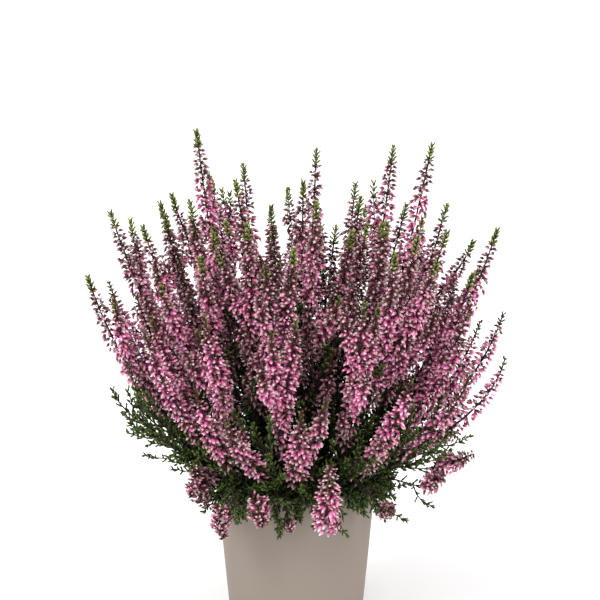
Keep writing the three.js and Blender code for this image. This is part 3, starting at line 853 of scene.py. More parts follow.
def makeSoilMaterial():
    material, tree, shader = startMaterial("potting soil", soilFinish["roughness"])
    noise = addNoise(tree, soilFinish["grain"], soilFinish["detail"])
    normal = addBump(tree, noise, soilFinish["bump"], soilFinish["bumpDepth"])
    setInputs(tree, shader, {"Base Color": addRamp(tree, noise, soilFinish["shades"]), "Normal": normal})
    return material


# Pot and soil

def turnedMesh(profile, columns):
    # A surface of revolution round the upright axis: a closed profile of (radius, height) rows, whose first
    # and last lie on the axis, swept through one turn.
    profile = np.array(profile, float)
    turn = np.arange(columns) * 2 * math.pi / columns
    radii, heights = profile[1:-1, :1], np.repeat(profile[1:-1, 1:], columns, axis=1)
    points = np.stack((radii * np.cos(turn), radii * np.sin(turn), heights), axis=2).reshape(-1, 3)
    points = np.vstack(((0, 0, profile[0][1]), points, (0, 0, profile[-1][1])))
    corners, sizes, _, _ = gridFaces(len(radii), columns)
    return points, corners, sizes


def edgeArc(centre, radius, first, last):
    # Points on a circle from one angle to another, in degrees.
    angles = np.radians(np.linspace(first, last, pot["edgeSteps"] + 1))
    return np.column_stack((centre[0] + radius * np.cos(angles), centre[1] + radius * np.sin(angles)))


def potProfile():
    # From the middle of the underside out, up the outer wall, over the rim, down the inner wall and in.
    rim, height, base, floor = pot["rimRadius"], pot["height"], pot["baseRadius"], pot["floor"]
    edge, wall, foot, lift = pot["edgeRound"], pot["wall"], pot["footRing"], pot["footLift"]
    innerFoot = wallRadiusAt(floor) - wall
    return np.vstack((
        [(0, lift), (base - 2 * foot, lift), (base - foot - edge, lift), (base - foot, 0)],
        edgeArc((base - edge, edge), edge, -90, 0),
        edgeArc((rim - edge, height - edge), edge, 0, 90),
        edgeArc((rim - wall + edge, height - edge), edge, 90, 180),
        edgeArc((innerFoot - 2 * edge, floor + 2 * edge), 2 * edge, 0, -90),
        [(0, floor)],
    ))


def makeDrainCutter():
    # Upright posts on a ring, one for each drain hole.
    count = pot["drains"]
    turn = (np.arange(count) + 0.5) * 2 * math.pi / count
    feet = np.column_stack((pot["drainRing"] * np.cos(turn), pot["drainRing"] * np.sin(turn),
                            np.full(count, pot["cutFrom"])))
    ring = np.ones(pot["drainSides"])
    post = makeTemplate([0 * ring, ring], [ring, ring])
    upright, aside = np.tile(up, (count, 1)), np.tile((1.0, 0, 0), (count, 1))
    drains = PieceMesh()
    drains.addCopies(post, feet, upright, aside, pot["cutLength"], pot["drainRadius"], 0, "stem")
    return putMesh("drainCutter", drains.points[0], drains.corners[0], drains.sizes[0], [])


def makePot():
    # The whole wall is turned as one profile, and drain holes are cut through the floor.
    piece = putMesh("heatherPot", *turnedMesh(potProfile(), pot["columns"]), [makePotMaterial()])
    cutter = makeDrainCutter()
    cut = piece.modifiers.new("drains", "BOOLEAN")
    cut.operation = "DIFFERENCE"
    cut.solver = "EXACT"
    cut.object = cutter
    graph = bpy.context.evaluated_depsgraph_get()
    holed = bpy.data.meshes.new_from_object(piece.evaluated_get(graph), depsgraph=graph)
    piece.modifiers.clear()
    piece.data = holed
    holed.name = "heatherPot"
    bpy.data.objects.remove(cutter)
    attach(piece, "root")
    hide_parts("pot")


def crumbHeight(x, y):
    # Rough soil: a sine wave and three products of two, of falling size and growing frequency, turned
    # against each other.
    rough = np.sin(0.61 * x + 0.3 * y) * np.sin(0.53 * y - 0.2 * x) + 0.5 * np.sin(1.3 * x - 0.8 * y)
    rough = rough + 0.35 * np.sin(2.3 * x + 1.1 * y) * np.sin(1.9 * y - 2.1 * x)
    return rough + 0.22 * np.sin(4.1 * x - 2.7 * y) * np.sin(3.7 * y + 1.3 * x)


grainHeights = [[0.15] * 6, [0.5] * 6, [0.85] * 6]
grainRadii = [[0.7] * 6, [1, 0.85, 1.05, 0.9, 1.1, 0.8], [0.65, 0.75, 0.6, 0.7, 0.65, 0.75]]


def strewGrains(innerTop):
    # Low lumps strewn evenly over the surface, half sunk in it.
    random = np.random.default_rng(soil["seed"])
    count = soil["grains"]
    reach = (innerTop - soil["grainMargin"]) * np.sqrt(random.random(count))
    turn = random.random(count) * 2 * math.pi
    x, y = reach * np.cos(turn), reach * np.sin(turn)
    size = random.uniform(*soil["grainSize"], count)
    heights = soilHeightAt(reach) + soil["crumb"] * crumbHeight(x, y) - soil["sunk"] * size
    upwards = up + random.normal(0, soil["grainTilt"], (count, 3))
    grains = PieceMesh()
    grains.addCopies(makeTemplate(grainHeights, grainRadii), np.column_stack((x, y, heights)), upwards,
                     random.normal(0, 1, (count, 3)), size * soil["grainLength"], size * soil["grainWidth"],
                     0, "stem")
    return grains.points[0], grains.corners[0], grains.sizes[0]


def makeSoil():
    low = pot["floor"] + soil["gap"]
    innerLow = wallRadiusAt(low) - pot["wall"] - 2 * pot["edgeRound"]
    innerTop = wallRadiusAt(soilEdge) - pot["wall"] - 2 * soil["gap"]
    radii = innerTop * np.arange(soil["rings"], -1, -1) / soil["rings"]
    top = np.column_stack((radii, soilHeightAt(radii)))
    profile = np.vstack(([(0, low), (innerLow, low), (innerTop, soilEdge - soil["shoulder"])], top))
    points, corners, sizes = turnedMesh(profile, soil["columns"])
    onTop = points[:, 2] > soilEdge - 0.5
    edge = smoothStep(innerTop - np.hypot(points[:, 0], points[:, 1]), *soil["crumbEdge"])
    points[:, 2] += onTop * edge * soil["crumb"] * crumbHeight(points[:, 0], points[:, 1])
    grainPoints, grainCorners, grainSizes = strewGrains(innerTop)
    piece = putMesh("pottingSoil", np.vstack((points, grainPoints)),
                    np.concatenate((corners, grainCorners + len(points))),
                    np.concatenate((sizes, grainSizes)), [makeSoilMaterial()])
    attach(piece, "root")
    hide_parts("soil")


makePot()
makeSoil()
print("pot and soil made")


# Templates of what is repeated

budTemplate = makeTemplate([[0.3] * 4, [0.66, 0.76] * 2], [[1.0, 0.9] * 2, [0.8, 0.58] * 2])
deepBudTemplate = makeTemplate([[0.45] * 4], [[1.0] * 4])
stalkTemplate = makeTemplate([[0.5] * 3], [[1.0] * 3])
leafTemplate = makeTemplate([[0.28] * 4, [0.78] * 4], [[0.85] * 4, [0.9] * 4], flat=0.55)


# Pairs are for the corners that stand out and those between them. body says which stretch of the wave.
scales = {"drawnUp": (0.06, -0.02), "out": (1, 0.5), "body": (0.18, 0.9), "blunt": 0.7}


def scalyTemplate(rings):
    # A short shoot covered in scale leaves in four rows: every second corner of each ring stands out and is
    # drawn up, and the next ring is turned by one corner. The body is a stretch of a sine wave, made blunter
    # by a power below one.
    ring, column = np.indices((rings, 4))
    raised = (ring + column) % 2 == 0
    share = (ring + 0.6) / (rings + 0.3)
    body = np.sin(math.pi * lerp(*scales["body"], share)) ** scales["blunt"]
    heights = share + np.where(raised, *scales["drawnUp"])
    return makeTemplate(heights, body * np.where(raised, *scales["out"]))


sideTemplate = scalyTemplate(3)
deepSideTemplate = scalyTemplate(2)


# Flower spikes

goldenAngle = math.radians(137.508)
# The plant's round outside, as a middle and the reach from there to each side.
outline = {"middle": (0, 0, 100), "reach": (135, 115, 215)}

spike = {
    "seed": 40, "deepInside": 0.66,
    # where the buds sit: how many for each millimetre, and how closely they keep to whorls
    "budsFrom": (9.35, 0.2), "thin": 1.25, "dense": 1.95, "denseFrom": (8, 0.1), "denseAt": (60, 0.7),
    "lowMore": 1.7, "thinFoot": 0.3, "footFrom": (10, 0.3), "steps": 240, "whorl": 4,
    "whorlTurn": 0.9, "topSnap": 0.88, "lowSnap": 0.3, "snapTo": 0.6, "shift": 0.35, "turnSpread": 0.3,
    # how far they reach out
    "topReach": 5.4, "wideFrom": (4, 0.1), "wideAt": (52, 0.6), "fluff": 1.14, "lowFluff": 1.5,
    "footReach": 0.75, "endReach": 0.72, "endReachTo": 9, "uneven": 0.14, "waveLength": 17,
    "sunkShare": 0.3, "sunk": (0.62, 0.85), "raised": (0.88, 1.06),
    # their size and lean
    "lengths": (4.7, 5.2), "lengthSpread": (0.85, 1.15), "endLength": 0.75, "endLengthTo": 12,
    "widths": (0.28, 0.245), "widthSpread": (0.88, 1.1), "lowLonger": 1.12, "lowSlimmer": 0.9,
    "tilts": (0, -24), "tiltSpread": (12, 24), "scatter": 0.28,
    # their tone: how far from the tip they are ripe on low and on high spikes, and later on some spikes;
    # lower tones inside the plant and near its foot are painted shade
    "youngTone": 2.0, "fullTones": (8.4, 12.3), "outside": (0.75, 1.02), "toneSpread": (2.3, 3.4),
    "ripeAt": (18, 62), "ripeHeights": (180, 285), "ripeShares": (0.3, 1.05), "ripens": 50,
    "lateShare": 0.32, "late": (1.8, 2.8), "paintedFootShade": 0.6, "footHeights": (95, 165),
    "stemGirth": (0.95, 0.5), "stemStep": 5, "stemColumns": 5,
}
stalk = {"seat": 0.2, "below": 0.25, "into": 0.15, "width": 0.3, "upTo": 0.7, "tones": (8, 10)}
# The small leaf under some of the buds.
bract = {
    "every": 3, "share": 0.62, "width": 0.42, "scatter": 0.4, "droop": -0.35, "seat": 0.3, "tones": (9, 13),
}
tipLeaves = {
    "levels": 8, "least": 3, "fullFrom": 60, "length": 4.3, "width": 1.3, "span": 10.5, "end": 1.2,
    "lean": (54, 30), "leanSpread": 6, "turnSpread": 0.2, "shorter": 0.85, "slimmer": 0.8,
    "lengthSpread": (0.85, 1.1), "smallSpan": 0.5, "smallLength": 0.7, "bend": 0.06, "bendUp": 0.6,
    "seat": 0.3, "tall": 266, "fall": 0.25, "outerTones": (12, 16), "innerTones": (11, 14),
    # heights of the other tips, and the sizes of their leafy ends
    "innerSizes": ((150, 260), (0.3, 0.62)),
}
budLeaves = {
    "from": (11, 0.3), "pitch": 4.2, "length": 2.6, "lengthSpread": (0.8, 1.4), "width": 0.55, "lean": 40,
    "leanSpread": 8, "turns": 1.7, "seat": 0.3, "tones": (8, 12),
}


def anyTurn(random):
    # A start anywhere round a stem, in radians.
    return random.uniform(0, 6)


def depthShare(points):
    # How far out a point lies in the plant: 0 in its middle, 1 on its outside. It is the length of the offset
    # from the middle after each side is divided by the reach there.
    return np.linalg.norm((points - np.array(outline["middle"])) / outline["reach"], axis=-1)


def budPlaces(shoot, start, random):
    # Distances from the tip that follow a density which grows from the tip down, drawn towards whorls near
    # the tip. With each goes its turn, how full the spike is there, and how little its foot draws it in.
    length = shoot["length"]
    span = np.linspace(start, length, spike["steps"])
    full = smoothStep(span, within(spike["denseFrom"], length), within(spike["denseAt"], length))
    foot = smoothStep(length - span, -2, within(spike["footFrom"], length))
    density = lerp(spike["thin"], spike["dense"], full) * lerp(spike["thinFoot"], 1, foot)
    density = density * (spike["lowMore"] if "bends" in shoot else 1)
    heaped = np.concatenate(([0], np.cumsum((density[1:] + density[:-1]) / 2 * np.diff(span))))
    count = int(heaped[-1])
    order = np.arange(count)
    whorl = order // spike["whorl"]
    snap = lerp(spike["topSnap"], spike["lowSnap"], smoothStep(order / count, 0, spike["snapTo"]))
    place = lerp(order + 0.5, (whorl + 0.5) * spike["whorl"], snap)
    place = place + random.uniform(-spike["shift"], spike["shift"], count)
    fromTip = np.interp(np.clip(place, 0, count) / count * heaped[-1], heaped, span)
    turn = order * 2 * math.pi / spike["whorl"] + whorl * spike["whorlTurn"]
    turn = turn + random.normal(0, spike["turnSpread"], count) + anyTurn(random)
    return fromTip, turn, np.interp(fromTip, span, full), np.interp(fromTip, span, foot)


def budTones(shoot, ends, fromTip, full, random):
    # Dull at the tip, ripe and bright further down. Darker inside the plant and near its foot, which is
    # painted shade.
    low = "bends" in shoot
    top = pointsAt(shoot["route"], np.array([shoot["total"]]))[0, 2]
    ripeAt = lerp(*spike["ripeAt"], smoothStep(top, *spike["ripeHeights"]))
    if not low and random.random() < spike["lateShare"]:
        ripeAt = ripeAt * random.uniform(*spike["late"])
    ripe = full
    if shoot["length"] > spike["ripens"]:
        ripe = smoothStep(fromTip, *(ripeAt * np.array(spike["ripeShares"])))
    # Painted shade: buds further inside the plant get lower, darker tones.
    outer = smoothStep(depthShare(ends), *spike["outside"])
    bright = lerp(spike["youngTone"], lerp(*spike["fullTones"], outer), ripe)
    # Painted shade: lower, darker tones towards the plant's foot.
    if not low:
        bright = bright * lerp(spike["paintedFootShade"], 1, smoothStep(ends[:, 2], *spike["footHeights"]))
    tone = random.normal(bright, lerp(*spike["toneSpread"], ripe), len(bright))
    return np.clip(tone, 0, strips["tones"] - 1).astype(int)


def addBuds(mesh, shoot, random):
    # Each bud's tip lies at the spike's reach, which narrows to both ends and waves a little. The bud points
    # outwards and, further down the spike, somewhat down.
    length = shoot["length"]
    low = "bends" in shoot
    start = 0.5 if low or "toEnd" in shoot else within(spike["budsFrom"], length)
    fromTip, turn, full, foot = budPlaces(shoot, start, random)
    count = len(turn)
    points, along, out = framesAlong(shoot["route"], shoot["total"] - fromTip, turn)
    wide = smoothStep(fromTip, within(spike["wideFrom"], length), within(spike["wideAt"], length))
    fluff = spike["lowFluff"] if low else spike["fluff"]
    reach = lerp(spike["topReach"], shoot["radius"] * fluff, wide) * lerp(spike["footReach"], 1, foot)
    reach = reach * lerp(spike["endReach"], 1, smoothStep(fromTip, start - 1, start + spike["endReachTo"]))
    wave = np.sin(fromTip / spike["waveLength"] * 2 * math.pi + anyTurn(random)) * np.cos(turn)
    reach = reach * (1 + spike["uneven"] * full * wave)
    sunk = random.random(count) < spike["sunkShare"] * full
    depths = [random.uniform(*spike[key], count) for key in ("sunk", "raised")]
    reach = reach * np.where(sunk, *depths)
    budLength = lerp(*spike["lengths"], full) * random.uniform(*spike["lengthSpread"], count)
    atEnd = smoothStep(fromTip, start - 1, start + spike["endLengthTo"])
    budLength = budLength * lerp(spike["endLength"], 1, atEnd)
    tilt = lerp(*spike["tilts"], full) + random.normal(0, 1, count) * lerp(*spike["tiltSpread"], full)
    aside = np.cross(along, out)
    direction = leaning(out, along, np.radians(tilt))
    direction = unit(direction + aside * random.normal(0, spike["scatter"], count)[:, None])
    ends = points + out * reach[:, None]
    feet = ends - direction * budLength[:, None]
    width = budLength * lerp(*spike["widths"], full) * random.uniform(*spike["widthSpread"], count)
    if low:
        budLength, width = budLength * spike["lowLonger"], width * spike["lowSlimmer"]
    tone = budTones(shoot, ends, fromTip, full, random)
    # Buds deep inside the plant get half their tone, which is painted shade. They also get the simpler
    # template.
    deep = depthShare(ends) < spike["deepInside"]
    tone = np.where(deep, tone // 2, tone)
    for template, some in ((budTemplate, ~deep), (deepBudTemplate, deep)):
        mesh.addCopies(template, feet[some], direction[some], aside[some], budLength[some], width[some],
                       tone[some], "bud")
    # The stalk rises from the stem a little below the bud. Deep among the buds it can't be seen.
    roots = points + out * stalk["seat"] - along * (stalk["below"] * reach)[:, None]
    rise = feet + direction * (stalk["into"] * budLength)[:, None] - roots
    some = (full < stalk["upTo"]) & ~deep
    mesh.addCopies(stalkTemplate, roots[some], rise[some], aside[some], np.linalg.norm(rise[some], axis=1),
                   stalk["width"], random.integers(*stalk["tones"], some.sum()), "leaf")
    lower = direction + aside * random.normal(0, bract["scatter"], count)[:, None]
    lower = unit(lower + along * bract["droop"])
    some = (np.arange(count) % bract["every"] == 0) & ~deep
    mesh.addCopies(stalkTemplate, (feet - direction * bract["seat"])[some], lower[some], aside[some],
                   bract["share"] * budLength[some], bract["width"],
                   random.integers(*bract["tones"], some.sum()), "leaf")


def atOutline(tip):
    # True for the tips that stand at the plant's outline seen from the front or from the back.
    return tip[2] > tipLeaves["tall"] - tipLeaves["fall"] * abs(tip[0])


def addTipLeaves(mesh, route, size, random, tones):
    # Pairs of scale leaves, each pair turned by a right angle, that lean out and curve in again.
    share = min(1, size / tipLeaves["fullFrom"])
    levels = max(round(tipLeaves["levels"] * share), tipLeaves["least"])
    count = 2 * levels
    level = np.repeat(np.arange(levels), 2)
    rise = level / (levels - 1)
    fromTip = tipLeaves["span"] * lerp(tipLeaves["smallSpan"], 1, share) * (1 - rise) + tipLeaves["end"]
    turn = level * math.pi / 2 + np.tile((0, math.pi), levels) + random.uniform(0, 3)
    turn = turn + random.normal(0, tipLeaves["turnSpread"], count)
    points, along, out = framesAlong(route, route["total"] - fromTip, turn)
    lean = np.radians(lerp(*tipLeaves["lean"], rise) + random.normal(0, tipLeaves["leanSpread"], count))
    length = tipLeaves["length"] * lerp(1, tipLeaves["shorter"], rise)
    length = length * random.uniform(*tipLeaves["lengthSpread"], count)
    length = length * lerp(tipLeaves["smallLength"], 1, share)
    width = tipLeaves["width"] * lerp(1, tipLeaves["slimmer"], rise)
    bend = (along * tipLeaves["bendUp"] - out) * tipLeaves["bend"]
    mesh.addCopies(leafTemplate, points + out * tipLeaves["seat"], leaning(along, out, lean),
                   np.cross(along, out), length, width, random.integers(*tones, count), "leaf", bend)


def addBudLeaves(mesh, shoot, random):
    # Small leaves that stand on the stem between the buds.
    length = shoot["length"]
    count = int(length / budLeaves["pitch"])
    fromTip = np.sort(random.uniform(within(budLeaves["from"], length), length, count))
    turn = np.arange(count) * goldenAngle * budLeaves["turns"]
    points, along, out = framesAlong(shoot["route"], shoot["total"] - fromTip, turn)
    lean = np.radians(budLeaves["lean"] + random.normal(0, budLeaves["leanSpread"], count))
    leafLength = budLeaves["length"] * random.uniform(*budLeaves["lengthSpread"], count)
    mesh.addCopies(leafTemplate, points + out * budLeaves["seat"], leaning(along, out, lean),
                   np.cross(along, out), leafLength, budLeaves["width"],
                   random.integers(*budLeaves["tones"], count), "leaf")


# How unevenly thick a stem is, as a share of its girth.
girthSpread = 0.09


def addStem(mesh, route, ends, girths, tone, random, columns, step):
    # A tube along the route between two distances, thinner upwards, with a little uneven girth.
    count = max(int((ends[1] - ends[0]) / step), 3)
    distances = np.linspace(*ends, count + 1)
    points, along, side = framesAlong(route, distances, anyTurn(random))
    girth = lerp(*girths, np.linspace(0, 1, count + 1))[:, None]
    radii = girth * (1 + girthSpread * random.normal(0, 1, (count + 1, columns)).clip(-2, 2))
    mesh.addTube(points, along, side, radii, tone)


# Flowering side branches of three kinds, by shares of the flowering length from the tip. first and second are
# the shares of a branch's reach before and after its bend.
flowering = {
    "reachSpread": (0.8, 1.2), "leanSpread": 6, "first": 0.55, "turnUp": (1, 0.22, 0.3), "leafyFrom": 20,
    "second": 0.5, "lowest": 0.8, "girths": (0.5, 0.35), "stemTone": 8, "stemColumns": 3, "stemStep": 6,
}
branchlets = {
    **flowering, "leastLength": 60, "from": 0.4, "to": 0.96, "pitch": 18, "reach": (9, 24), "lean": 34,
    "radius": 5,
}
sideSpikes = {
    **flowering, "leastLength": 100, "from": 0.34, "to": 0.9, "pitch": 32, "reach": (18, 62), "lean": 30,
    "radius": 5.4,
}
sprayTwigs = {
    **flowering, "leastLength": 15, "from": 0.3, "to": 1.1, "pitch": 6, "reach": (7, 13), "lean": 46,
    "radius": 4.6,
}
# Branches whose tips would pass these places are left out.
branchLimits = {"side": 136, "highSide": 118, "highFrom": 150, "front": -112, "back": 122}


def spreadEvenly(first, last, count, random):
    # Places from first to last: each lies somewhere in the middle of its own equal part of the way.
    return first + (last - first) * (np.arange(count) + random.uniform(0.2, 0.8, count)) / count


def bendUp(point, along, out, reach, style, random):
    # The middle and the tip of a side branch, which leaves at a lean and turns up half way.
    lean = math.radians(style["lean"] + random.normal(0, style["leanSpread"]))
    middle = point + (along * math.cos(lean) + out * math.sin(lean)) * style["first"] * reach
    alongShare, outShare, upShare = style["turnUp"]
    turned = unit(along * alongShare + outShare * out + upShare * up)
    return middle, middle + turned * style["second"] * reach


def outOfLimits(tip):
    high = tip[2] > branchLimits["highFrom"] and abs(tip[0]) > branchLimits["highSide"]
    deep = tip[1] < branchLimits["front"] or tip[1] > branchLimits["back"]
    return high or abs(tip[0]) > branchLimits["side"] or deep


def addBranchlets(mesh, shoot, random, style):
    # Flowering side branches along a spike, longer further down.
    length, total = shoot["length"], shoot["total"]
    if length < style["leastLength"]:
        return
    first, last = style["from"], min(style["to"], style["lowest"] * total / length)
    count = max(int((last - first) * length / style["pitch"]), 1)
    share = spreadEvenly(first, last, count, random)
    turn = anyTurn(random) + np.arange(count) * goldenAngle
    points, along, out = framesAlong(shoot["route"], total - share * length, turn)
    for k in range(count):
        reach = lerp(*style["reach"], share[k]) * random.uniform(*style["reachSpread"])
        middle, tip = bendUp(points[k], along[k], out[k], reach, style, random)
        if outOfLimits(tip):
            continue
        route = makeRoute(smoothCurve([points[k], middle, tip]))
        size = route["total"]
        branch = {"route": route, "total": size, "length": size, "radius": style["radius"]}
        if reach > style["leafyFrom"] and tip[2] > tipLeaves["tall"]:
            addTipLeaves(mesh, route, size, random, tipLeaves["outerTones"])
        else:
            branch["toEnd"] = True
        addBuds(mesh, branch, random)
        addStem(mesh, route, (0, size - 0.5), style["girths"], style["stemTone"], random,
                style["stemColumns"], style["stemStep"])


def makeSpike(number, head, materials):
    mesh = PieceMesh()
    members = [(i, shoot) for i, shoot in enumerate(shoots + fillerShoots) if shoot["head"] == head]
    for tone, (i, shoot) in enumerate(members):
        random = np.random.default_rng(spike["seed"] + i)
        addBuds(mesh, shoot, random)
        low = "bends" in shoot
        if atOutline(shoot["tip"]):
            addTipLeaves(mesh, shoot["route"], shoot["length"], random, tipLeaves["outerTones"])
        elif not low:
            size = tipLeaves["fullFrom"] * np.interp(shoot["tip"][2], *tipLeaves["innerSizes"])
            addTipLeaves(mesh, shoot["route"], size, random, tipLeaves["innerTones"])
        addBudLeaves(mesh, shoot, random)
        for style in (branchlets, sideSpikes, *([sprayTwigs] if low else [])):
            addBranchlets(mesh, shoot, random, style)
        addStem(mesh, shoot["route"], (shoot["flowersFrom"], shoot["total"] - 1), spike["stemGirth"],
                tone, random, spike["stemColumns"], spike["stemStep"])
    piece = mesh.put(f"flowerSpike_{number:02d}", materials)
    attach(piece, "root")
    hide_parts(f"flower_spike_{number:02d}")
    return mesh.triangles()


plantMaterials = [makeBudMaterial(), makeLeafMaterial(), makeBarkMaterial()]
spikeTriangles = sum(makeSpike(k + 1, head, plantMaterials) for k, head in enumerate(heads))
print("flower spikes made:", spikeTriangles, "triangles")


# Leafy clumps

clumpStyle = {
    "seed": 400, "girths": np.array((1.3, 0.75)), "thinWood": 0.65, "stemStep": 6, "stemColumns": 5,
    "crownColumns": 10, "crownSteps": 8, "crownTone": 15, "deepInside": 0.45,
    # side shoots along a stem
    "bareUpTo": 0.22, "pitch": 2.5, "shift": 0.6, "turnSpread": 0.3, "intoFlowers": 0.3, "sparsePitch": 4.5,
    "length": (4.2, 8.2), "width": 0.95, "bend": 0.12, "lean": 44, "leanSpread": 9, "lift": 0.12,
    "shortEnd": 0.6, "shortFrom": 0.75, "tones": (0.6, 5.2), "toneSpread": 1.4, "outside": (45, 95),
    "endSize": 30, "endTones": (5, 8),
}
# Twigs, of leafyBranch on the stems and of fringe round the rim.
twigStyle = {
    "start": 1.5, "lean": (52, 25), "leanSpread": 7, "lift": 0.1, "width": 0.85, "bend": 0.1, "atFoot": 1.1,
    "tones": (0.3, 5.0), "tipTone": 1.5, "toneSpread": 1.1, "outside": (42, 86),
    "girths": (0.6, 0.35), "stemTone": 9, "stemColumns": 3, "stemStep": 7, "endSize": 24, "endTones": (4, 8),
}
leafyBranch = {
    "from": 0.2, "pitch": 15, "length": (15, 32), "lean": 46, "leanSpread": 8, "first": 0.5,
    "second": 0.5, "turnUp": (0.8, 0.5, 0.25), "sidePitch": 2.5, "sideLength": (3.6, 6.4), "atTip": 0.7,
    "widest": 122,
}
fringe = {
    "count": 186, "seed": 77, "shift": 0.3, "root": (46, 52), "rootHeight": (97, 104), "over": 57.5,
    "overHeight": (99, 105), "hangTo": (79, 92), "hangOut": (60, 66), "riseTo": (98, 124),
    "riseOut": (62, 82), "risesEvery": 4, "sway": 10, "swayOver": 0.25, "arch": 2, "ownerReach": 1.6,
    "sidePitch": 1.8, "sideLength": (4.4, 8.0), "atTip": 0.95,
}
innerShoots = {"count": 30, "reach": 84, "high": 228, "low": 138, "heightSpread": 12, "seed": 5}
potClearance = {"wall": 1.2, "outside": 1.0, "soil": 1}


def clearOfPot(feet, ends):
    # True where a side shoot stays clear of the pot's wall and of the soil.
    keep = np.ones(len(feet), bool)
    margin = potClearance["wall"]
    for places in (feet, (feet + ends) / 2, ends):
        radius = np.hypot(places[:, 0], places[:, 1])
        height = places[:, 2]
        inPot = (height < pot["height"] + margin) & (radius > pot["rimRadius"] - pot["wall"] - margin)
        outside = radius > wallRadiusAt(np.minimum(height, pot["height"])) + potClearance["outside"]
        inSoil = (radius < pot["rimRadius"]) & (height < soilHeightAt(radius) + potClearance["soil"])
        keep &= ~((inPot & ~outside) | inSoil)
    return keep


def addScaly(mesh, points, along, out, lean, length, tone, style, random):
    # Scaly side shoots, lifted and bent up a little, but none that would touch the pot or the soil. Those
    # outside are brighter, and those deep inside the plant have fewer faces.
    direction = unit(leaning(along, out, lean) + up * style["lift"])
    keep = clearOfPot(points, points + direction * length[:, None])
    outer = smoothStep(np.linalg.norm(points[:, :2], axis=1), *style["outside"])
    tone = random.normal(lerp(*style["tones"], outer) + tone, style["toneSpread"], len(points))
    tone = np.clip(tone, 0, strips["tones"] // 2 - 1).astype(int)
    bend = up * (style["bend"] * length)[:, None]
    deep = depthShare(points) < clumpStyle["deepInside"]
    for template, some in ((sideTemplate, keep & ~deep), (deepSideTemplate, keep & deep)):
        mesh.addCopies(template, points[some], direction[some], out[some], length[some], style["width"],
                       tone[some], "leaf", bend[some])


def addSideShoots(mesh, shoot, random):
    # Short scaly shoots round the stem by the golden angle, close together on the leafy part and sparse
    # among the lower flowers.
    flowers = shoot["length"] > 0
    leafyTo = shoot["flowersFrom"] if flowers else shoot["total"] - 2
    s = np.arange(clumpStyle["bareUpTo"] * shoot["flowersFrom"], leafyTo, clumpStyle["pitch"])
    if flowers:
        flowersTo = leafyTo + clumpStyle["intoFlowers"] * shoot["length"]
        s = np.concatenate((s, np.arange(leafyTo, flowersTo, clumpStyle["sparsePitch"])))
    count = len(s)
    s = s + random.uniform(-clumpStyle["shift"], clumpStyle["shift"], count)
    turn = np.arange(count) * goldenAngle + random.normal(0, clumpStyle["turnSpread"], count)
    points, along, out = framesAlong(shoot["route"], s, turn)
    lean = np.radians(clumpStyle["lean"] + random.normal(0, clumpStyle["leanSpread"], count))
    length = random.uniform(*clumpStyle["length"], count)
    if not flowers:
        atEnd = smoothStep(s, clumpStyle["shortFrom"] * leafyTo, leafyTo)
        length = length * lerp(1, clumpStyle["shortEnd"], atEnd)
    addScaly(mesh, points, along, out, lean, length, 0, clumpStyle, random)


def addTwig(mesh, route, random, style):
    # A thin leafy side branch: a stem with side shoots on all sides, shorter to its tip.
    total = route["total"]
    s = np.arange(twigStyle["start"], total, style["sidePitch"])
    count = len(s)
    turn = np.arange(count) * goldenAngle + anyTurn(random)
    points, along, out = framesAlong(route, s, turn)
    rise = s / total
    lean = np.radians(lerp(*twigStyle["lean"], rise) + random.normal(0, twigStyle["leanSpread"], count))
    length = random.uniform(*style["sideLength"], count) * lerp(twigStyle["atFoot"], style["atTip"], rise)
    addScaly(mesh, points, along, out, lean, length, twigStyle["tipTone"] * rise, twigStyle, random)
    addStem(mesh, route, (0, total - 0.5), twigStyle["girths"], twigStyle["stemTone"], random,
            twigStyle["stemColumns"], twigStyle["stemStep"])
    addTipLeaves(mesh, route, twigStyle["endSize"], random, twigStyle["endTones"])


def addTwigs(mesh, shoot, random):
    # Leafy side branches on a stem's leafy part.
    leafyTo = shoot["flowersFrom"] if shoot["length"] > 0 else shoot["total"]
    start = leafyBranch["from"] * leafyTo
    count = max(int((leafyTo - start) / leafyBranch["pitch"]), 1)
    s = spreadEvenly(start, leafyTo, count, random)
    turn = anyTurn(random) + np.arange(count) * goldenAngle
    points, along, out = framesAlong(shoot["route"], s, turn)
    for k in range(count):
        reach = random.uniform(*leafyBranch["length"])
        middle, tip = bendUp(points[k], along[k], out[k], reach, leafyBranch, random)
        if clearOfPot(middle[None], tip[None])[0] and abs(tip[0]) < leafyBranch["widest"]:
            addTwig(mesh, makeRoute(smoothCurve([points[k], middle, tip])), random, leafyBranch)


def layFringe():
    # Leafy twigs all round the rim: every fourth one spreads above it, and the others hang over it.
    random = np.random.default_rng(fringe["seed"])
    routes = []
    for k in range(fringe["count"]):
        turn = 2 * math.pi * (k + random.uniform(-fringe["shift"], fringe["shift"])) / fringe["count"]
        away = np.array([math.cos(turn), math.sin(turn), 0])
        sway = np.array([-math.sin(turn), math.cos(turn), 0]) * random.normal(0, 1) * fringe["sway"]
        kind = "hang" if k % fringe["risesEvery"] else "rise"
        end = away * random.uniform(*fringe[kind + "Out"]) + sway + up * random.uniform(*fringe[kind + "To"])
        over = away * fringe["over"] + sway * fringe["swayOver"] + up * random.uniform(*fringe["overHeight"])
        root = away * random.uniform(*fringe["root"]) + up * random.uniform(*fringe["rootHeight"])
        bend = (over + end) / 2 + (away + up) * fringe["arch"]
        owner = nearestCrown(*(end[:2] * fringe["ownerReach"]))
        routes.append((owner, makeRoute(smoothCurve([root, over, bend, end]))))
    return routes


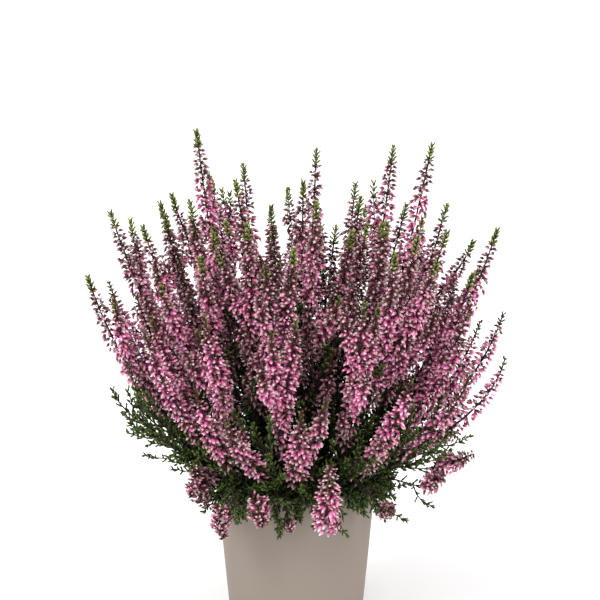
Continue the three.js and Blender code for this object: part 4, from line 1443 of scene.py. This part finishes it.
def layInnerShoots():
    # Leafy shoots with no flowers that fill the middle, spread by the golden angle and lower further out,
    # and those of the tables.
    random = np.random.default_rng(innerShoots["seed"])
    inner = []
    for k in range(innerShoots["count"]):
        share = (k + 0.5) / innerShoots["count"]
        turn = k * goldenAngle
        reach = innerShoots["reach"] * math.sqrt(share)
        height = lerp(innerShoots["high"], innerShoots["low"], share)
        height = height + random.uniform(-innerShoots["heightSpread"], innerShoots["heightSpread"])
        inner.append(freeShoot((reach * math.cos(turn), reach * math.sin(turn), height), 0, 0))
    inner.extend(freeShoot(row, 0, 0) for row in leafyRows)
    inner.extend(freeShoot(bends[-1], 0, 0, bends=bends) for bends in leafySprays)
    return inner


fringeRoutes = layFringe()
inner = layInnerShoots()


def addCrown(mesh, clump, random):
    # The woody foot of a clump: a short stout tube, narrower at its top, that closes over the stem roots.
    share = np.linspace(0, 1, clumpStyle["crownSteps"] + 1)
    rings = len(share)
    heights = crownTops[clump] - crown["depth"] * (1 - share)
    places, upright, aside = (np.tile(way, (rings, 1)) for way in (crowns[clump], up, (1.0, 0, 0)))
    uneven = random.normal(0, 1, (rings, clumpStyle["crownColumns"])).clip(-2, 2)
    girth = crown["radius"] * (1 - crown["narrower"] * smoothStep(share, crown["narrowFrom"], 1))
    radii = girth[:, None] * (1 + crown["uneven"] * uneven)
    mesh.addTube(np.column_stack((places, heights)), upright, aside, radii, clumpStyle["crownTone"])


def makeClump(clump, materials):
    mesh = PieceMesh()
    random = np.random.default_rng(clumpStyle["seed"] + clump)
    addCrown(mesh, clump, random)
    members = [shoot for shoot in shoots + inner + fillerShoots
               if shoot["clump"] == clump and shoot["parent"] is None]
    for k, shoot in enumerate(members):
        flowers = shoot["length"] > 0
        end = shoot["flowersFrom"] + 2 if flowers else shoot["total"] - 1
        girths = clumpStyle["girths"] * (1 if flowers and "bends" not in shoot else clumpStyle["thinWood"])
        addStem(mesh, shoot["route"], (0, end), girths, k % clumpStyle["crownTone"], random,
                clumpStyle["stemColumns"], clumpStyle["stemStep"])
        addSideShoots(mesh, shoot, random)
        addTwigs(mesh, shoot, random)
        if not flowers:
            addTipLeaves(mesh, shoot["route"], clumpStyle["endSize"], random, clumpStyle["endTones"])
    for owner, route in fringeRoutes:
        if owner == clump:
            addTwig(mesh, route, random, fringe)
    piece = mesh.put(f"leafyStems_{clump + 1:02d}", materials)
    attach(piece, "root")
    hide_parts(f"leafy_stems_{clump + 1:02d}")
    return mesh.triangles()


clumpTriangles = sum(makeClump(clump, plantMaterials) for clump in range(len(crowns)))
print("leafy clumps made:", clumpTriangles, "triangles")
